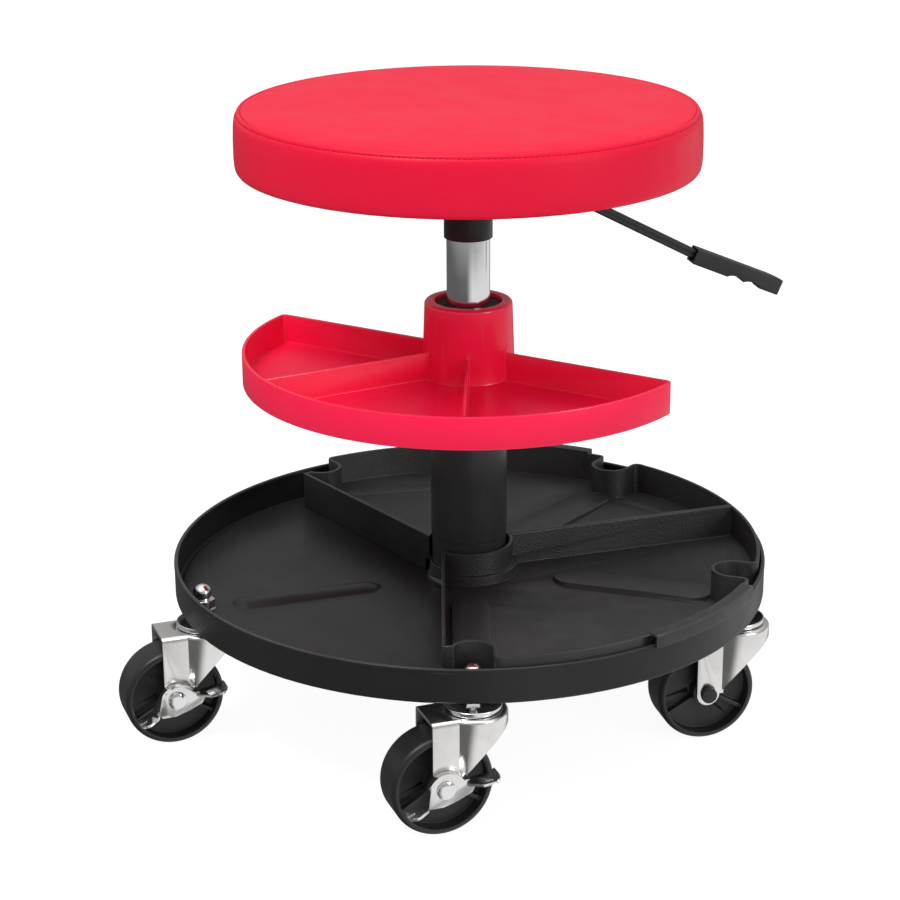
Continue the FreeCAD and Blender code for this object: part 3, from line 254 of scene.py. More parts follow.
texture = {
    # scales in features per metre; depth is the bump's height in metres
    "vinyl": {"drift": 5, "grain": 1100, "pores": 2600, "poreShare": 0.5, "cloud": 30,
              "cloudEdge": (0.3, 0.7), "gloss": (0.38, 0.46), "roughness": 0.42, "specular": 0.17,
              "bump": 0.08, "depth": 0.0002},
    "mould": {"drift": 14, "rub": 45, "rubEdge": (0.35, 0.7), "smoother": 0.04, "rougher": 0.05,
              "depth": 0.0003},
    "hide": {"drift": 18, "grain": 760, "fine": 1500, "fineShare": 0.25, "cloud": 60, "cloudEdge": (0.3, 0.7),
             "spread": 0.05, "specular": 0.45, "bump": 0.4, "depth": 0.0005, "wallEdge": (0.1, 0.5)},
    "coat": {"drift": 11, "peel": 420, "cloud": 26, "cloudEdge": (0.3, 0.75), "smoother": 0.03,
             "rougher": 0.05, "specular": 0.22, "bump": 0.08, "depth": 0.0004},
    "metal": {"drift": 30, "brush": 900, "cloud": 70, "cloudEdge": (0.3, 0.7), "smoother": 0.03,
              "rougher": 0.05, "depth": 0.0002},
    "wood": {"rings": 40, "stretch": (1, 9, 9), "roughness": 0.7, "bump": 0.3, "depth": 0.0005,
             "dark": (0.42, 0.27, 0.14), "pale": (0.62, 0.45, 0.27)},
    "toneEdge": (0.35, 0.65),
}
finishes = {}


def finish(name, colour, roughness, **constants):
    # a new material: its paint, and its surface with the plain values set
    stuff = bpy.data.materials.new(name)
    stuff.use_nodes = True
    paint = Paint(stuff.node_tree)
    surface = stuff.node_tree.nodes["Principled BSDF"].inputs
    paint.feed(surface["Base Color"], colour)
    surface["Roughness"].default_value = roughness
    for key, value in constants.items():
        surface[key].default_value = value
    finishes[name] = stuff
    return paint, surface


def toned(paint, surface, dark, pale, scale):
    # a colour that drifts between two tones
    drift = paint.ramped(paint.noise(scale, 3), *texture["toneEdge"])
    paint.feed(surface["Base Color"], paint.mixColour(drift, dark, pale))


def makeVinyl(name, dark, pale):
    # fine cells with pores, and a slow drift of the gloss
    use = texture["vinyl"]
    paint, surface = finish(name, pale, use["roughness"], **{"Specular IOR Level": use["specular"]})
    toned(paint, surface, dark, pale, use["drift"])
    grain = paint.cells(use["grain"])
    pores = paint.noise(use["pores"], 2)
    gloss = paint.ramped(paint.noise(use["cloud"], 3), *use["cloudEdge"], *use["gloss"])
    paint.feed(surface["Roughness"], gloss)
    paint.feed(surface["Normal"], paint.bump(grain + pores * use["poreShare"], use["bump"], use["depth"]))


def makeMould(name, dark, pale, roughness, grainScale, grain, specular=0.5):
    # moulded plastic: faint flow marks, fine spark-eroded grain, a few rubbed patches
    use = texture["mould"]
    paint, surface = finish(name, pale, roughness, **{"Specular IOR Level": specular})
    toned(paint, surface, dark, pale, use["drift"])
    patches = paint.noise(use["rub"], 4)
    rub = paint.ramped(patches, *use["rubEdge"], roughness - use["smoother"], roughness + use["rougher"])
    paint.feed(surface["Roughness"], rub)
    paint.feed(surface["Normal"], paint.bump(paint.noise(grainScale, 3), grain, use["depth"]))


def makeHide(name, dark, pale, roughness):
    # leather-like grain on the walls, a finer one on the floors
    use = texture["hide"]
    paint, surface = finish(name, pale, roughness, **{"Specular IOR Level": use["specular"]})
    toned(paint, surface, dark, pale, use["drift"])
    facing = paint.node("ShaderNodeNewGeometry", output="Normal")
    level = paint.node("ShaderNodeSeparateXYZ", {}, {0: facing}, "Z")
    wall = 1 - paint.ramped(level * level, *use["wallEdge"])
    hide = paint.cells(use["grain"], "F1")
    fine = paint.noise(use["fine"], 2)
    height = wall * hide + fine * use["fineShare"]
    paint.feed(surface["Normal"], paint.bump(height, use["bump"], use["depth"]))
    cloud = paint.noise(use["cloud"], 3)
    gloss = paint.ramped(cloud, *use["cloudEdge"], roughness - use["spread"], roughness + use["spread"])
    paint.feed(surface["Roughness"], gloss)


def makeCoat(name, dark, pale, roughness):
    # powder coat: orange peel and a faint dusting
    use = texture["coat"]
    paint, surface = finish(name, pale, roughness, **{"Specular IOR Level": use["specular"]})
    toned(paint, surface, dark, pale, use["drift"])
    cloud = paint.noise(use["cloud"], 4)
    gloss = paint.ramped(cloud, *use["cloudEdge"], roughness - use["smoother"], roughness + use["rougher"])
    paint.feed(surface["Roughness"], gloss)
    paint.feed(surface["Normal"], paint.bump(paint.noise(use["peel"], 2), use["bump"], use["depth"]))


def makeMetal(name, dark, pale, roughness, streak, grain=0.05):
    # plated or drawn metal: streaks along the stretched direction, cloudy roughness
    use = texture["metal"]
    paint, surface = finish(name, pale, roughness, Metallic=1.0)
    toned(paint, surface, dark, pale, use["drift"])
    brushed = paint.noise(use["brush"], 2, streak)
    cloud = paint.noise(use["cloud"], 3)
    gloss = paint.ramped(cloud, *use["cloudEdge"], roughness - use["smoother"], roughness + use["rougher"])
    paint.feed(surface["Roughness"], gloss)
    paint.feed(surface["Normal"], paint.bump(brushed, grain, use["depth"]))


def makeWood(name):
    use = texture["wood"]
    paint, surface = finish(name, use["pale"], use["roughness"])
    rings = paint.noise(use["rings"], 4, use["stretch"])
    grain = paint.ramped(rings, *texture["toneEdge"])
    paint.feed(surface["Base Color"], paint.mixColour(grain, use["dark"], use["pale"]))
    paint.feed(surface["Normal"], paint.bump(rings, use["bump"], use["depth"]))


def makeFinishes():
    # name, darker tone, paler tone, roughness, then the grain or the streaks
    makeVinyl("redVinyl", (0.745, 0.004, 0.036), (0.765, 0.005, 0.039))
    makeVinyl("redThread", (0.36, 0.006, 0.02), (0.44, 0.008, 0.026))
    makeMould("redMould", (0.91, 0.006, 0.060), (0.95, 0.008, 0.068), 0.34, 900, 0.05, 0.3)
    # a paler, pinker copy of the red mould for the eased edges: a painted highlight along the tray's rim
    makeMould("redMouldEdge", (0.88, 0.02, 0.07), (0.92, 0.03, 0.09), 0.2, 900, 0.03, 0.7)
    makeCoat("blackCoat", (0.0155, 0.0155, 0.0158), (0.0185, 0.0185, 0.0188), 0.32)
    # a lighter copy of the black coat for the pan's rim bend: a painted highlight line
    makeCoat("coatEdgeHighlight", (0.035, 0.034, 0.033), (0.05, 0.049, 0.047), 0.25)
    makeMould("glossBlack", (0.022, 0.022, 0.0222), (0.027, 0.027, 0.0272), 0.14, 700, 0.02, 0.9)
    makeMould("blackTube", (0.032, 0.032, 0.0322), (0.037, 0.037, 0.0372), 0.33, 700, 0.03, 0.45)
    makeHide("trayGrain", (0.018, 0.018, 0.0182), (0.023, 0.023, 0.0232), 0.46)
    # a lighter copy of the tray grain for the eased edges: painted highlight lines on the trays and the
    # sleeve foot
    makeHide("trayEdge", (0.03, 0.03, 0.03), (0.05, 0.05, 0.05), 0.35)
    makeMould("wheelBlack", (0.015, 0.015, 0.0152), (0.020, 0.020, 0.0202), 0.36, 800, 0.05, 0.4)
    # a lighter copy of the wheel black for the eased edges: painted highlights on the wheel edges
    makeMould("wheelEdge", (0.03, 0.03, 0.03), (0.045, 0.045, 0.045), 0.3, 800, 0.04)
    makeMould("gripBlack", (0.009, 0.009, 0.0092), (0.014, 0.014, 0.0142), 0.45, 1200, 0.15)
    makeMould("rubberBlack", (0.008, 0.008, 0.008), (0.013, 0.013, 0.013), 0.65, 900, 0.2, 0.3)
    makeMould("nylon", (0.62, 0.61, 0.57), (0.70, 0.69, 0.65), 0.5, 700, 0.1)
    makeMould("markWhite", (0.42, 0.42, 0.42), (0.5, 0.5, 0.5), 0.5, 900, 0.02)
    makeMould("foam", (0.75, 0.70, 0.48), (0.82, 0.78, 0.56), 0.9, 300, 0.8)
    makeMetal("zinc", (0.78, 0.765, 0.75), (0.86, 0.85, 0.835), 0.22, (1, 1, 12), 0.04)
    # a paler copy of the zinc for the eased edges: painted highlights on the yokes, pedals and rivets
    makeMetal("zincEdge", (0.85, 0.84, 0.83), (0.93, 0.92, 0.91), 0.16, (1, 1, 1), 0.02)
    makeMetal("chrome", (0.80, 0.80, 0.80), (0.87, 0.87, 0.87), 0.12, (1, 1, 1), 0.01)
    makeMetal("chromeTube", (0.72, 0.72, 0.72), (0.80, 0.80, 0.80), 0.1, (1, 1, 0.05), 0.01)
    makeMetal("steel", (0.42, 0.42, 0.43), (0.52, 0.52, 0.53), 0.3, (1, 1, 8))
    makeMetal("bronze", (0.42, 0.26, 0.10), (0.52, 0.34, 0.14), 0.4, (1, 1, 1))
    makeWood("plywood")


makeFinishes()
print("finishes made")


# helpers for shapes

shaping = {
    "merge": 0.002,  # mm
    "arcStep": 0.3,  # radians
    "cadMerge": 0.01,
    "cadFlat": 0.3,  # degrees
    "shellSmooth": 30,
    # a sheet's corner that gets rounded: shorter than, sharper than (radians), more upright than
    "cornerLength": 3,
    "cornerTurn": 1.4,
    "cornerUpright": 0.85,
    "cornerSteps": 7,
}


def pieceFrom(name, points, faces, finishNames, body, replaced=(), faceFinish=None, smooth=35):
    mesh = bpy.data.meshes.new(name)
    mesh.from_pydata([Vector(point) * mm for point in points], [], faces)
    return finished(name, mesh, finishNames, body, replaced, faceFinish, smooth)


def finished(name, mesh, finishNames, body, replaced=(), faceFinish=None, smooth=35):
    work = bmesh.new()
    work.from_mesh(mesh)
    bmesh.ops.remove_doubles(work, verts=work.verts, dist=shaping["merge"] * mm)
    bmesh.ops.recalc_face_normals(work, faces=work.faces)
    work.to_mesh(mesh)
    work.free()
    for finishName in finishNames:
        mesh.materials.append(finishes[finishName])
    if faceFinish:
        for face in mesh.polygons:
            face.material_index = faceFinish(face)
    mesh.shade_smooth()
    if smooth:
        mesh.set_sharp_from_angle(angle=math.radians(smooth))
    piece = bpy.data.objects.new(name, mesh)
    bpy.context.scene.collection.objects.link(piece)
    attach(piece, body)
    if replaced:
        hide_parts(*replaced)
    return piece


def rounded(corners):
    # an outline of (x, z) or (x, z, radius) corners, with arcs where a radius is given
    outline = []
    count = len(corners)
    for index, corner in enumerate(corners):
        here = Vector(corner[:2])
        if len(corner) < 3:
            outline.append(tuple(here))
            continue
        before = (Vector(corners[index - 1][:2]) - here).normalized()
        after = (Vector(corners[(index + 1) % count][:2]) - here).normalized()
        turn = before.angle(after)
        reach = corner[2] / math.tan(turn / 2)
        centre = here + (before + after).normalized() * (corner[2] / math.sin(turn / 2))
        start = here + before * reach - centre
        end = here + after * reach - centre
        sweep = start.angle_signed(end)
        steps = max(2, int(abs(sweep) / shaping["arcStep"]))
        for step in range(steps + 1):
            turned = Matrix.Rotation(-sweep * step / steps, 2) @ start
            outline.append(tuple(centre + turned))
    return outline


def dressed(node, finishName, edgeHighlightFinish=None, bevel=0.4, clamp=False, sharp=38, segments=2, corner=0):
    # a CAD piece copied with its edges eased; the eased strips take the edge finish, a lighter copy that
    # paints a highlight along the edges
    # corner rounds the outline of a bent sheet at its upright edges
    mesh = nodes[node].data.copy()
    mesh.materials.clear()
    work = bmesh.new()
    work.from_mesh(mesh)
    bmesh.ops.remove_doubles(work, verts=work.verts, dist=shaping["cadMerge"] * mm)
    flat = math.radians(shaping["cadFlat"])
    bmesh.ops.dissolve_limit(work, angle_limit=flat, verts=work.verts, edges=work.edges)
    if corner:
        tips = [edge for edge in work.edges if edge.calc_length() < shaping["cornerLength"] * mm
                and len(edge.link_faces) == 2 and edge.calc_face_angle() > shaping["cornerTurn"]
                and abs((edge.verts[1].co - edge.verts[0].co).normalized().z) > shaping["cornerUpright"]]
        bmesh.ops.bevel(work, geom=tips, offset=corner * mm, segments=shaping["cornerSteps"], affect="EDGES",
                        profile=0.5, clamp_overlap=True)
    work.to_mesh(mesh)
    work.free()
    holder = bpy.data.objects.new(node + "_work", mesh)
    bpy.context.scene.collection.objects.link(holder)
    eased = holder.modifiers.new("eased", "BEVEL")
    eased.width = bevel * mm
    eased.segments = segments
    eased.limit_method = "ANGLE"
    eased.angle_limit = math.radians(sharp)
    eased.use_clamp_overlap = clamp
    eased.miter_outer = "MITER_ARC"
    if edgeHighlightFinish:
        eased.material = 1
    mesh.materials.append(finishes[finishName])
    if edgeHighlightFinish:
        mesh.materials.append(finishes[edgeHighlightFinish])
    mesh.shade_smooth()
    graph = bpy.context.evaluated_depsgraph_get()
    made = bpy.data.meshes.new_from_object(holder.evaluated_get(graph), depsgraph=graph)
    bpy.data.objects.remove(holder)
    made.set_sharp_from_angle(angle=math.radians(shaping["shellSmooth"]))
    piece = bpy.data.objects.new(node + "_shell", made)
    bpy.context.scene.collection.objects.link(piece)
    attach(piece, bodyOf[node])
    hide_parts(node)
    return piece


# seat

seat = {
    # profiles of (radius, height), from the photograph's outline
    "crown": [(0, 489.3), (60, 489.2), (110, 489.05), (145, 488.7), (158, 488.5), (165, 488.15),
              (168, 487.85), (170, 487.35), (171.5, 486.7), (172.2, 485.9)],
    "welt": [(172.0, 485.5), (172.5, 486.05), (173.1, 486.6), (173.8, 486.7), (174.6, 486.2), (175.2, 485.3),
             (175.5, 484.6), (175.4, 484.1)],
    "wall": [(175.3, 484.0), (175.7, 483.7), (176.3, 482.9), (176.9, 481.6), (177.35, 479.5), (177.7, 476.5),
             (177.95, 471), (178.15, 465), (178.2, 458), (178.1, 451), (177.8, 446.5), (177.2, 443.5),
             (176.1, 441.8), (174.5, 441.2), (170, 441.4), (164, 442.4), (150, 442.9)],
    "thickness": 1.3,
    "fill": 0.9,
    "smooth": 60,  # degrees
    # the top panel: rings of points, and (radius, ring) near its edge, where they lie closer
    "rings": 40,
    "edgeRings": [(163.5, 28), (166.5, 31), (168.8, 33), (170.2, 35), (171.2, 37), (171.8, 39), (172.2, 40)],
    "swell": 0.5,  # how far the cloth starts below the crown, and how far it may end from it
    "pressure": 4,
    "frames": 20,
    "cloth": {"quality": 5, "mass": 0.4, "tension_stiffness": 30, "compression_stiffness": 30,
              "shear_stiffness": 20, "bending_stiffness": 4},
    # the skins round it, drawn in by the thread
    "segments": 720,
    "pucker": 0.14,
    "puckerLift": 0.6,
    "puckerRing": (176, 4),  # radius, and how far it reaches
    "puckerDrop": 5,
    # the thread
    "stitchPitch": 4.2,
    "stitchShare": 0.34,  # half a bead's length against the pitch
    "threadRadius": 0.34,
    "threadRing": 175.45,
    "threadHeight": 484.1,
    "threadSlant": 0.3,
    "threadDip": 0.25,
    "threadSides": 6,
    "bead": [(-1, 0.35), (-0.7, 0.9), (0, 1), (0.7, 0.9), (1, 0.35)],  # (place along the stitch, girth)
}


def along(profile, radius):
    # the height of a profile of (radius, height) points at a radius
    for (inner, low), (outer, high) in zip(profile, profile[1:]):
        if radius <= outer:
            return low + (high - low) * (radius - inner) / (outer - inner)
    return profile[-1][1]


def swollen(points, faces, fixed):
    # the top panel as cloth, held at its sewn edge and blown up a little from below
    mesh = bpy.data.meshes.new("panelCloth")
    mesh.from_pydata([Vector(point) * mm for point in points], [], faces)
    holder = bpy.data.objects.new("panelCloth", mesh)
    bpy.context.scene.collection.objects.link(holder)
    holder.vertex_groups.new(name="sewn").add(fixed, 1, "REPLACE")
    cloth = holder.modifiers.new("swell", "CLOTH").settings
    for key, value in seat["cloth"].items():
        setattr(cloth, key, value)
    cloth.vertex_group_mass = "sewn"
    cloth.use_pressure = True
    cloth.uniform_pressure_force = seat["pressure"]
    cloth.effector_weights.gravity = 0
    for frameNumber in range(1, seat["frames"] + 1):
        bpy.context.scene.frame_set(frameNumber)
    graph = bpy.context.evaluated_depsgraph_get()
    blown = [vertex.co / mm for vertex in holder.evaluated_get(graph).data.vertices]
    bpy.context.scene.frame_set(1)
    bpy.data.objects.remove(holder)
    free = seat["swell"]
    result = []
    for (x, y, z), moved in zip(points, blown):
        crown = along(seat["crown"], math.hypot(x, y))
        result.append((x, y, min(max(moved.z, crown - free), crown + free)))
    return result


def seatTop():
    # rings of points that grow from a square at the middle to the sewn edge
    rings = seat["rings"]
    edge = {index: radius for radius, index in seat["edgeRings"]}
    firstEdge = min(edge)
    radii = []
    for index in range(rings + 1):
        if index in edge:
            radii.append(edge[index])
        elif index < firstEdge:
            radii.append(edge[firstEdge] * index / firstEdge)
        else:
            below = max(known for known in edge if known < index)
            above = min(known for known in edge if known > index)
            radii.append(edge[below] + (edge[above] - edge[below]) * (index - below) / (above - below))
    held = rings - 1
    points = []
    number = {}
    for row in range(-rings, rings + 1):
        for column in range(-rings, rings + 1):
            ring = max(abs(row), abs(column))
            if abs(column) >= abs(row):
                turn = (math.pi / 4) * (row / column if column else 0) + (math.pi if column < 0 else 0)
            else:
                turn = math.pi / 2 - (math.pi / 4) * (column / row) + (math.pi if row < 0 else 0)
            radius = radii[ring]
            number[row, column] = len(points)
            height = along(seat["crown"], radius) - seat["swell"] * (ring < held)
            points.append((radius * math.cos(turn), radius * math.sin(turn), height))
    faces = [(number[row, column], number[row, column + 1],
              number[row + 1, column + 1], number[row + 1, column])
             for row in range(-rings, rings) for column in range(-rings, rings)]
    fixed = [index for (row, column), index in number.items() if max(abs(row), abs(column)) >= held]
    for index in fixed:
        x, y, z = points[index]
        draw = random.uniform(-1, 1) * seat["pucker"]
        stretch = 1 + draw / seat["welt"][0][0]
        points[index] = (x * stretch, y * stretch, z + draw * seat["puckerLift"])
    points = swollen(points, faces, fixed)
    mesh = bpy.data.meshes.new("seat_top_cover")
    mesh.from_pydata([Vector(point) * mm for point in points], [], faces)
    holder = bpy.data.objects.new("panel", mesh)
    bpy.context.scene.collection.objects.link(holder)
    thick = holder.modifiers.new("vinyl", "SOLIDIFY")
    thick.thickness = seat["thickness"] * mm
    thick.offset = -1
    holder.modifiers.new("smooth", "SUBSURF").levels = 1
    graph = bpy.context.evaluated_depsgraph_get()
    made = bpy.data.meshes.new_from_object(holder.evaluated_get(graph), depsgraph=graph)
    bpy.data.objects.remove(holder)
    top = finished("seat_top_cover", made, ["redVinyl"], "seat", ["seat_top_panel", "seat_foam"],
                   None, seat["smooth"])


def seatSkin(name, outline, replaced):
    # a vinyl skin turned about the column: its outer face follows the outline, its inner face lies inside
    inner = []
    for index, (radius, height) in enumerate(outline):
        after = Vector(outline[min(index + 1, len(outline) - 1)])
        run = (after - Vector(outline[max(index - 1, 0)])).normalized()
        inner.append((radius + run.y * seat["thickness"], height - run.x * seat["thickness"]))
    section = outline + inner[::-1]
    stitches = round(2 * math.pi * seat["threadRing"] / seat["stitchPitch"])
    ring, reach = seat["puckerRing"]
    points = []
    faces = []
    for column in range(seat["segments"]):
        angle = 2 * math.pi * column / seat["segments"]
        wave = math.cos(angle * stitches)
        for index, (radius, height) in enumerate(section):
            near = max(0, 1 - abs(height - seat["threadHeight"]) / seat["puckerDrop"])
            near *= max(0, 1 - abs(radius - ring) / reach)
            drawn = seat["pucker"] * near * wave if index < len(outline) else 0
            points.append(((radius - drawn) * math.cos(angle), (radius - drawn) * math.sin(angle), height))
    size = len(section)
    for column in range(seat["segments"]):
        here = column * size
        there = (column + 1) % seat["segments"] * size
        for step in range(size):
            after = (step + 1) % size
            faces.append((here + step, there + step, there + after, here + after))
    skin = pieceFrom(name, points, faces, ["redVinyl"], "seat", replaced, None, seat["smooth"])


def seatStitches():
    # one short bead of thread a stitch, sunk in the seam
    radius = seat["threadRing"]
    count = round(2 * math.pi * radius / seat["stitchPitch"])
    half = seat["stitchPitch"] * seat["stitchShare"] / radius
    sides = seat["threadSides"]
    points = []
    faces = []
    for index in range(count):
        angle = 2 * math.pi * (index + 0.5) / count
        start = len(points)
        for share, girth in seat["bead"]:
            turn = angle + half * share
            height = seat["threadHeight"] + seat["threadSlant"] * share
            out = radius - seat["threadDip"] * abs(share) ** 3
            for side in range(sides):
                lean = 2 * math.pi * side / sides
                reach = out + girth * seat["threadRadius"] * math.cos(lean)
                points.append((reach * math.cos(turn), reach * math.sin(turn),
                               height + girth * seat["threadRadius"] * math.sin(lean)))
        last = len(seat["bead"]) - 1
        for ring in range(last):
            for side in range(sides):
                near = start + ring * sides + side
                beside = start + ring * sides + (side + 1) % sides
                faces.append((near, beside, beside + sides, near + sides))
        faces.append(tuple(start + side for side in range(sides))[::-1])
        faces.append(tuple(start + last * sides + side for side in range(sides)))
    pieceFrom("seam_stitches", points, faces, ["redThread"], "seat", (), None, seat["smooth"])


def makeSeat():
    seatTop()
    seatSkin("seat_welt", seat["welt"], [])
    seatSkin("seat_side_cover", seat["wall"], ["seat_side_band"])
    seatStitches()


makeSeat()
print("seat made")


# pan

pan = {
    "hub": 25.05,
    "radius": 236.7,
    "floor": 103.6,
    "sheet": 1.6,
    "wall": 2.0,
    "top": 128.0,
    "corner": 2.5,
    "grooveWidth": 6.2,  # the pressed groove along the wall's foot
    "grooveDepth": 1.6,
    "hem": 2.6,
    "hemLap": 0.6,
    "hemHeight": 3.2,
    "lip": 0.25,
    "highlightBand": 0.3,  # how much of the rim's bend shows a painted highlight line, in the lighter coat
    "ribs": 5,
    "firstRib": -90,
    "ribStart": 74,
    "ribEnd": 198,
    "ribWidth": 25,
    "ribHeight": 4.3,
    "ribFoot": 4,
    # the sheet's points: radii, and turns in degrees, both closer together over the ribs as (step, count)
    "innerRadii": [40, 55, 66, 72],
    "ribRadii": (1.25, 101),
    "outerRadii": [201, 210, 220],
    "edgeRadius": 226,
    "ribTurns": (0.5, 24),
    "plainTurns": (3, 15),
    "smooth": 50,
}


def ribRise(x, y):
    # how far a pressed rib lifts the sheet here
    half = pan["ribWidth"] / 2
    best = 0.0
    for index in range(pan["ribs"]):
        turn = math.radians(pan["firstRib"] + 360 / pan["ribs"] * index)
        along = x * math.cos(turn) + y * math.sin(turn)
        aside = -x * math.sin(turn) + y * math.cos(turn)
        nearest = min(max(along, pan["ribStart"] + half), pan["ribEnd"] - half)
        inside = half - math.hypot(along - nearest, aside)
        if inside > 0:
            foot = min(inside / pan["ribFoot"], 1)
            best = max(best, foot * foot * (3 - 2 * foot) * math.sin(math.pi / 2 * inside / half))
    return best * pan["ribHeight"]


def makePan():
    under = pan["floor"] - pan["sheet"]
    low = under - pan["grooveDepth"]
    wall = pan["radius"] - pan["wall"]
    hem = pan["radius"] - pan["hem"] - pan["hemLap"]
    lip = pan["radius"] + pan["lip"]
    groove = pan["radius"] - pan["grooveWidth"]
    dip = groove + pan["grooveDepth"]
    skew = pan["sheet"] * math.tan(math.radians(45 / 2))
    step, count = pan["ribRadii"]
    edge = pan["edgeRadius"]
    radii = [pan["hub"], *pan["innerRadii"], *(pan["ribStart"] + step * index for index in range(count)),
             *pan["outerRadii"], edge]
    coarse = [*radii[::3], edge]
    outline = [(radius, pan["floor"], True) for radius in radii]
    rim = rounded([
        # (radius, height, rounding)
        (edge, pan["floor"]),
        (groove, pan["floor"], 1),
        (dip, low + pan["sheet"], 1),
        (wall, low + pan["sheet"], 0.8),
        (wall, pan["top"] - pan["hemHeight"], 0.3),
        (hem, pan["top"] - pan["hemHeight"], 0.5),
        (hem, pan["top"], 1.3),
        (lip, pan["top"], 1.3),
        (lip, pan["top"] - pan["hemHeight"], 0.4),
        (pan["radius"], pan["top"] - pan["hemHeight"] - 0.3, 0.2),
        (pan["radius"], low, pan["corner"]),
        (dip - skew, low, 0.6),
        (groove - skew, under, 0.6),
        (edge, under),
    ])
    outline += [(radius, height, False) for radius, height in rim[1:-1]]
    outline += [(radius, under, True) for radius in reversed(coarse)]
    angles = []
    fine, steps = pan["ribTurns"]
    wide, between = pan["plainTurns"]
    for index in range(pan["ribs"]):
        middle = pan["firstRib"] + 360 / pan["ribs"] * index
        angles += [middle + fine * step for step in range(-steps, steps + 1)]
        angles += [middle + fine * steps + wide * step for step in range(1, between + 1)]
    points = []
    for angle in angles:
        turn = math.radians(angle)
        for radius, height, lifted in outline:
            x = radius * math.cos(turn)
            y = radius * math.sin(turn)
            points.append((x, y, height + (ribRise(x, y) if lifted else 0)))
    size = len(outline)
    faces = []
    for column in range(len(angles)):
        here = column * size
        there = (column + 1) % len(angles) * size
        for step in range(size):
            after = (step + 1) % size
            faces.append((here + step, there + step, there + after, here + after))
    # faces near the rim's top take the lighter coat: a painted highlight line along the rim
    pieceFrom("pan_pressing", points, faces, ["blackCoat", "coatEdgeHighlight"], "base", ["base_pan"],
              lambda face: int(face.center.z > (pan["top"] - pan["highlightBand"]) * mm), pan["smooth"])


makePan()
print("pan made")


# pieces that keep their CAD form, with eased edges

eased = {
    # node: (finish, edge finish, bevel in mm); the edge finish is a lighter copy that paints highlights on
    # the eased edges
    "swivel_tray": ("redMould", "redMouldEdge", 0.55),
    "tool_tray_front": ("trayGrain", "trayEdge", 0.45),
    "tool_tray_rear": ("trayGrain", "trayEdge", 0.45),
    "column_sleeve": ("blackTube", None, 0.5),
    "sleeve_foot": ("glossBlack", "trayEdge", 0.5),
    "outer_column": ("blackTube", None, 0.3),
    "gas_cylinder": ("chromeTube", None, 0.3),
    "seat_socket": ("blackCoat", None, 0.5),
    "lever_bracket": ("blackCoat", None, 0.4),
    "seat_plate": ("blackCoat", None, 0.4),
    "lever_rod": ("gripBlack", None, 0.3),
    "lever_grip": ("gripBlack", None, 0.9),
    "raceway_dishes": ("chrome", None, 0.3),
    "guide_bush": ("rubberBlack", None, 0.3),
}
for number in range(1, 6):
    eased[f"caster_yoke_{number}"] = ("zinc", "zincEdge", 0.3, True)
    eased[f"caster_wheel_{number}"] = ("wheelBlack", "wheelEdge", 0.5)
for number in (2, 3, 4):
    eased[f"axle_caps_{number}"] = ("wheelBlack", None, 0.5)
for node, choice in eased.items():
    dressed(node, *choice)
print("eased pieces made")


# nuts on the caster stems

nuts = {
    "count": 5,
    "circle": 220,
    "first": -90,
    "bevel": 0.35,
    "domeHeight": 12,
    "domeReach": 7.2,
    # the dome's foot and the dome against the CAD's plain one, and where up the dome the change ends
    "neck": 0.86,
    "dome": 1.08,
    "neckEnd": 0.4,
}


def makeNuts():
    piece = dressed("stem_nuts", "chrome", None, nuts["bevel"])
    piece.data.materials.append(finishes["steel"])
    for face in piece.data.polygons:
        # the jam nuts under the pan are plain steel, kept dark to paint the shade they sit in under the pan
        face.material_index = int(face.center.z < pan["floor"] * mm)
    height = nuts["domeHeight"] * mm
    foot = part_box("stem_nuts")[1][2] - height
    turns = [math.radians(nuts["first"] + 360 / nuts["count"] * index) for index in range(nuts["count"])]
    stems = [Vector((math.cos(turn), math.sin(turn), 0)) * nuts["circle"] * mm for turn in turns]
    for vertex in piece.data.vertices:
        stem = min(stems, key=lambda place: (vertex.co.xy - place.xy).length)
        out = vertex.co.xy - stem.xy
        rise = (vertex.co.z - foot) / height
        if rise > -0.001 and out.length < nuts["domeReach"] * mm:  # not the hexagon's own corners
            girth = nuts["neck"] + (nuts["dome"] - nuts["neck"]) * min(rise / nuts["neckEnd"], 1)
            vertex.co.xy = stem.xy + out * girth


makeNuts()
print("nuts made")


# brake pedals: rounded wings with a mark each, and the rivet that they turn on

pedal = {
    "casters": (1, 5),
    "bevel": 0.35,
    "corner": 4,
    "flat": 0.9,  # a wing's top is more level than this
    "marks": ("ON", "OFF"),  # the upper wing, the lower wing
    "markSize": 3.6,
    "markDepth": 0.04,
    "markLift": 0.05,
    "rivetBevel": 0.5,
    "rivetHeight": 2.6,
    "rivetGirth": 1.16,
}


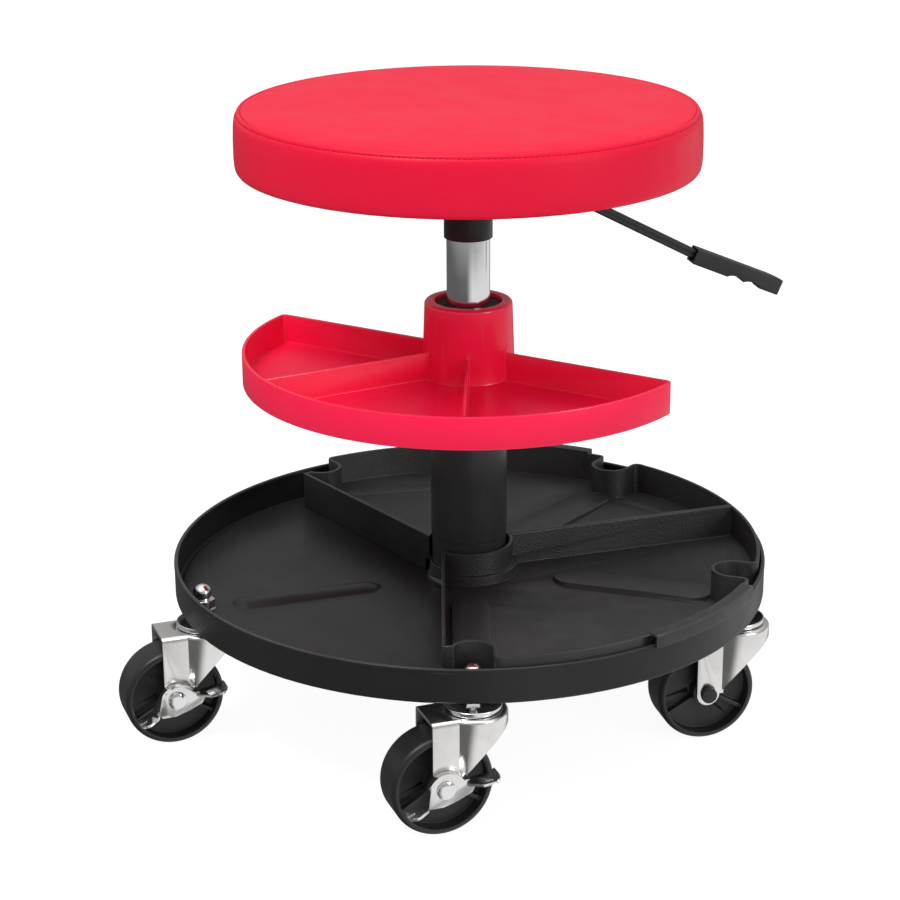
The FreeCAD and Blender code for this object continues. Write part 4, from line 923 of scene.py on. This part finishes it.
def pedalMark(number, word, face, across, body):
    text = bpy.data.curves.new("mark", "FONT")
    text.body = word
    text.size = pedal["markSize"] * mm
    text.extrude = pedal["markDepth"] * mm
    text.align_x = text.align_y = "CENTER"
    holder = bpy.data.objects.new("mark", text)
    bpy.context.scene.collection.objects.link(holder)
    across = (across - face.normal * across.dot(face.normal)).normalized()
    turned = Matrix((across, face.normal.cross(across), face.normal)).transposed().to_4x4()
    graph = bpy.context.evaluated_depsgraph_get()
    made = bpy.data.meshes.new_from_object(holder.evaluated_get(graph), depsgraph=graph)
    bpy.data.objects.remove(holder)
    made.transform(Matrix.Translation(face.center + face.normal * pedal["markLift"] * mm) @ turned)
    finished(f"pedal_mark_{word.lower()}_{number}", made, ["markWhite"], body, (), None, 0)


def makePedal(number):
    node = f"brake_pedal_{number}"
    # the pedal's eased edges take the paler zinc: painted highlights
    piece = dressed(node, "zinc", "zincEdge", pedal["bevel"], True, corner=pedal["corner"])
    faces = sorted(piece.data.polygons, key=lambda face: -face.area)
    low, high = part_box(f"caster_wheel_{number}")
    hub = (Vector(low) + Vector(high)) / 2
    out = faces[0].normal.copy()
    if (faces[0].center - hub).dot(out) < 0:
        out.negate()
    across = Vector((0, 0, 1)).cross(out)
    tops = [face for face in faces if face.normal.z > pedal["flat"]][:2]
    for word, face in zip(pedal["marks"], sorted(tops, key=lambda face: -face.center.z)):
        pedalMark(number, word, face, across, bodyOf[node])
    # the rivet's eased edges take the paler zinc: painted highlights
    rivet = dressed(f"caster_axle_{number}", "chrome", "zincEdge", pedal["rivetBevel"], True)
    end = max((vertex.co - hub).dot(out) for vertex in rivet.data.vertices)
    for vertex in rivet.data.vertices:
        reach = (vertex.co - hub).dot(out)
        if reach > end - pedal["rivetHeight"] * mm:
            spoke = vertex.co - hub - out * reach
            vertex.co = hub + out * reach + spoke * pedal["rivetGirth"]


for number in pedal["casters"]:
    makePedal(number)
print("pedals made")


# the other CAD pieces take their finish only

plain = {
    "black_steel": "blackCoat",
    "zinc": "zinc",
    "chrome": "chrome",
    "ball_steel": "steel",
    "red_plastic": "redMould",
    "black_plastic": "blackTube",
    "black_rubber": "rubberBlack",
    "wheel_plastic": "wheelBlack",
    "red_vinyl": "redVinyl",
    "foam": "foam",
    "plywood": "plywood",
    "bronze": "bronze",
    "nylon": "nylon",
}
for node, piece in nodes.items():
    for index in range(max(len(piece.material_slots), 1)):
        if not piece.material_slots:
            piece.data.materials.append(None)
        piece.material_slots[index].material = finishes[plain[slotOf[node]]]
print("finishes given")
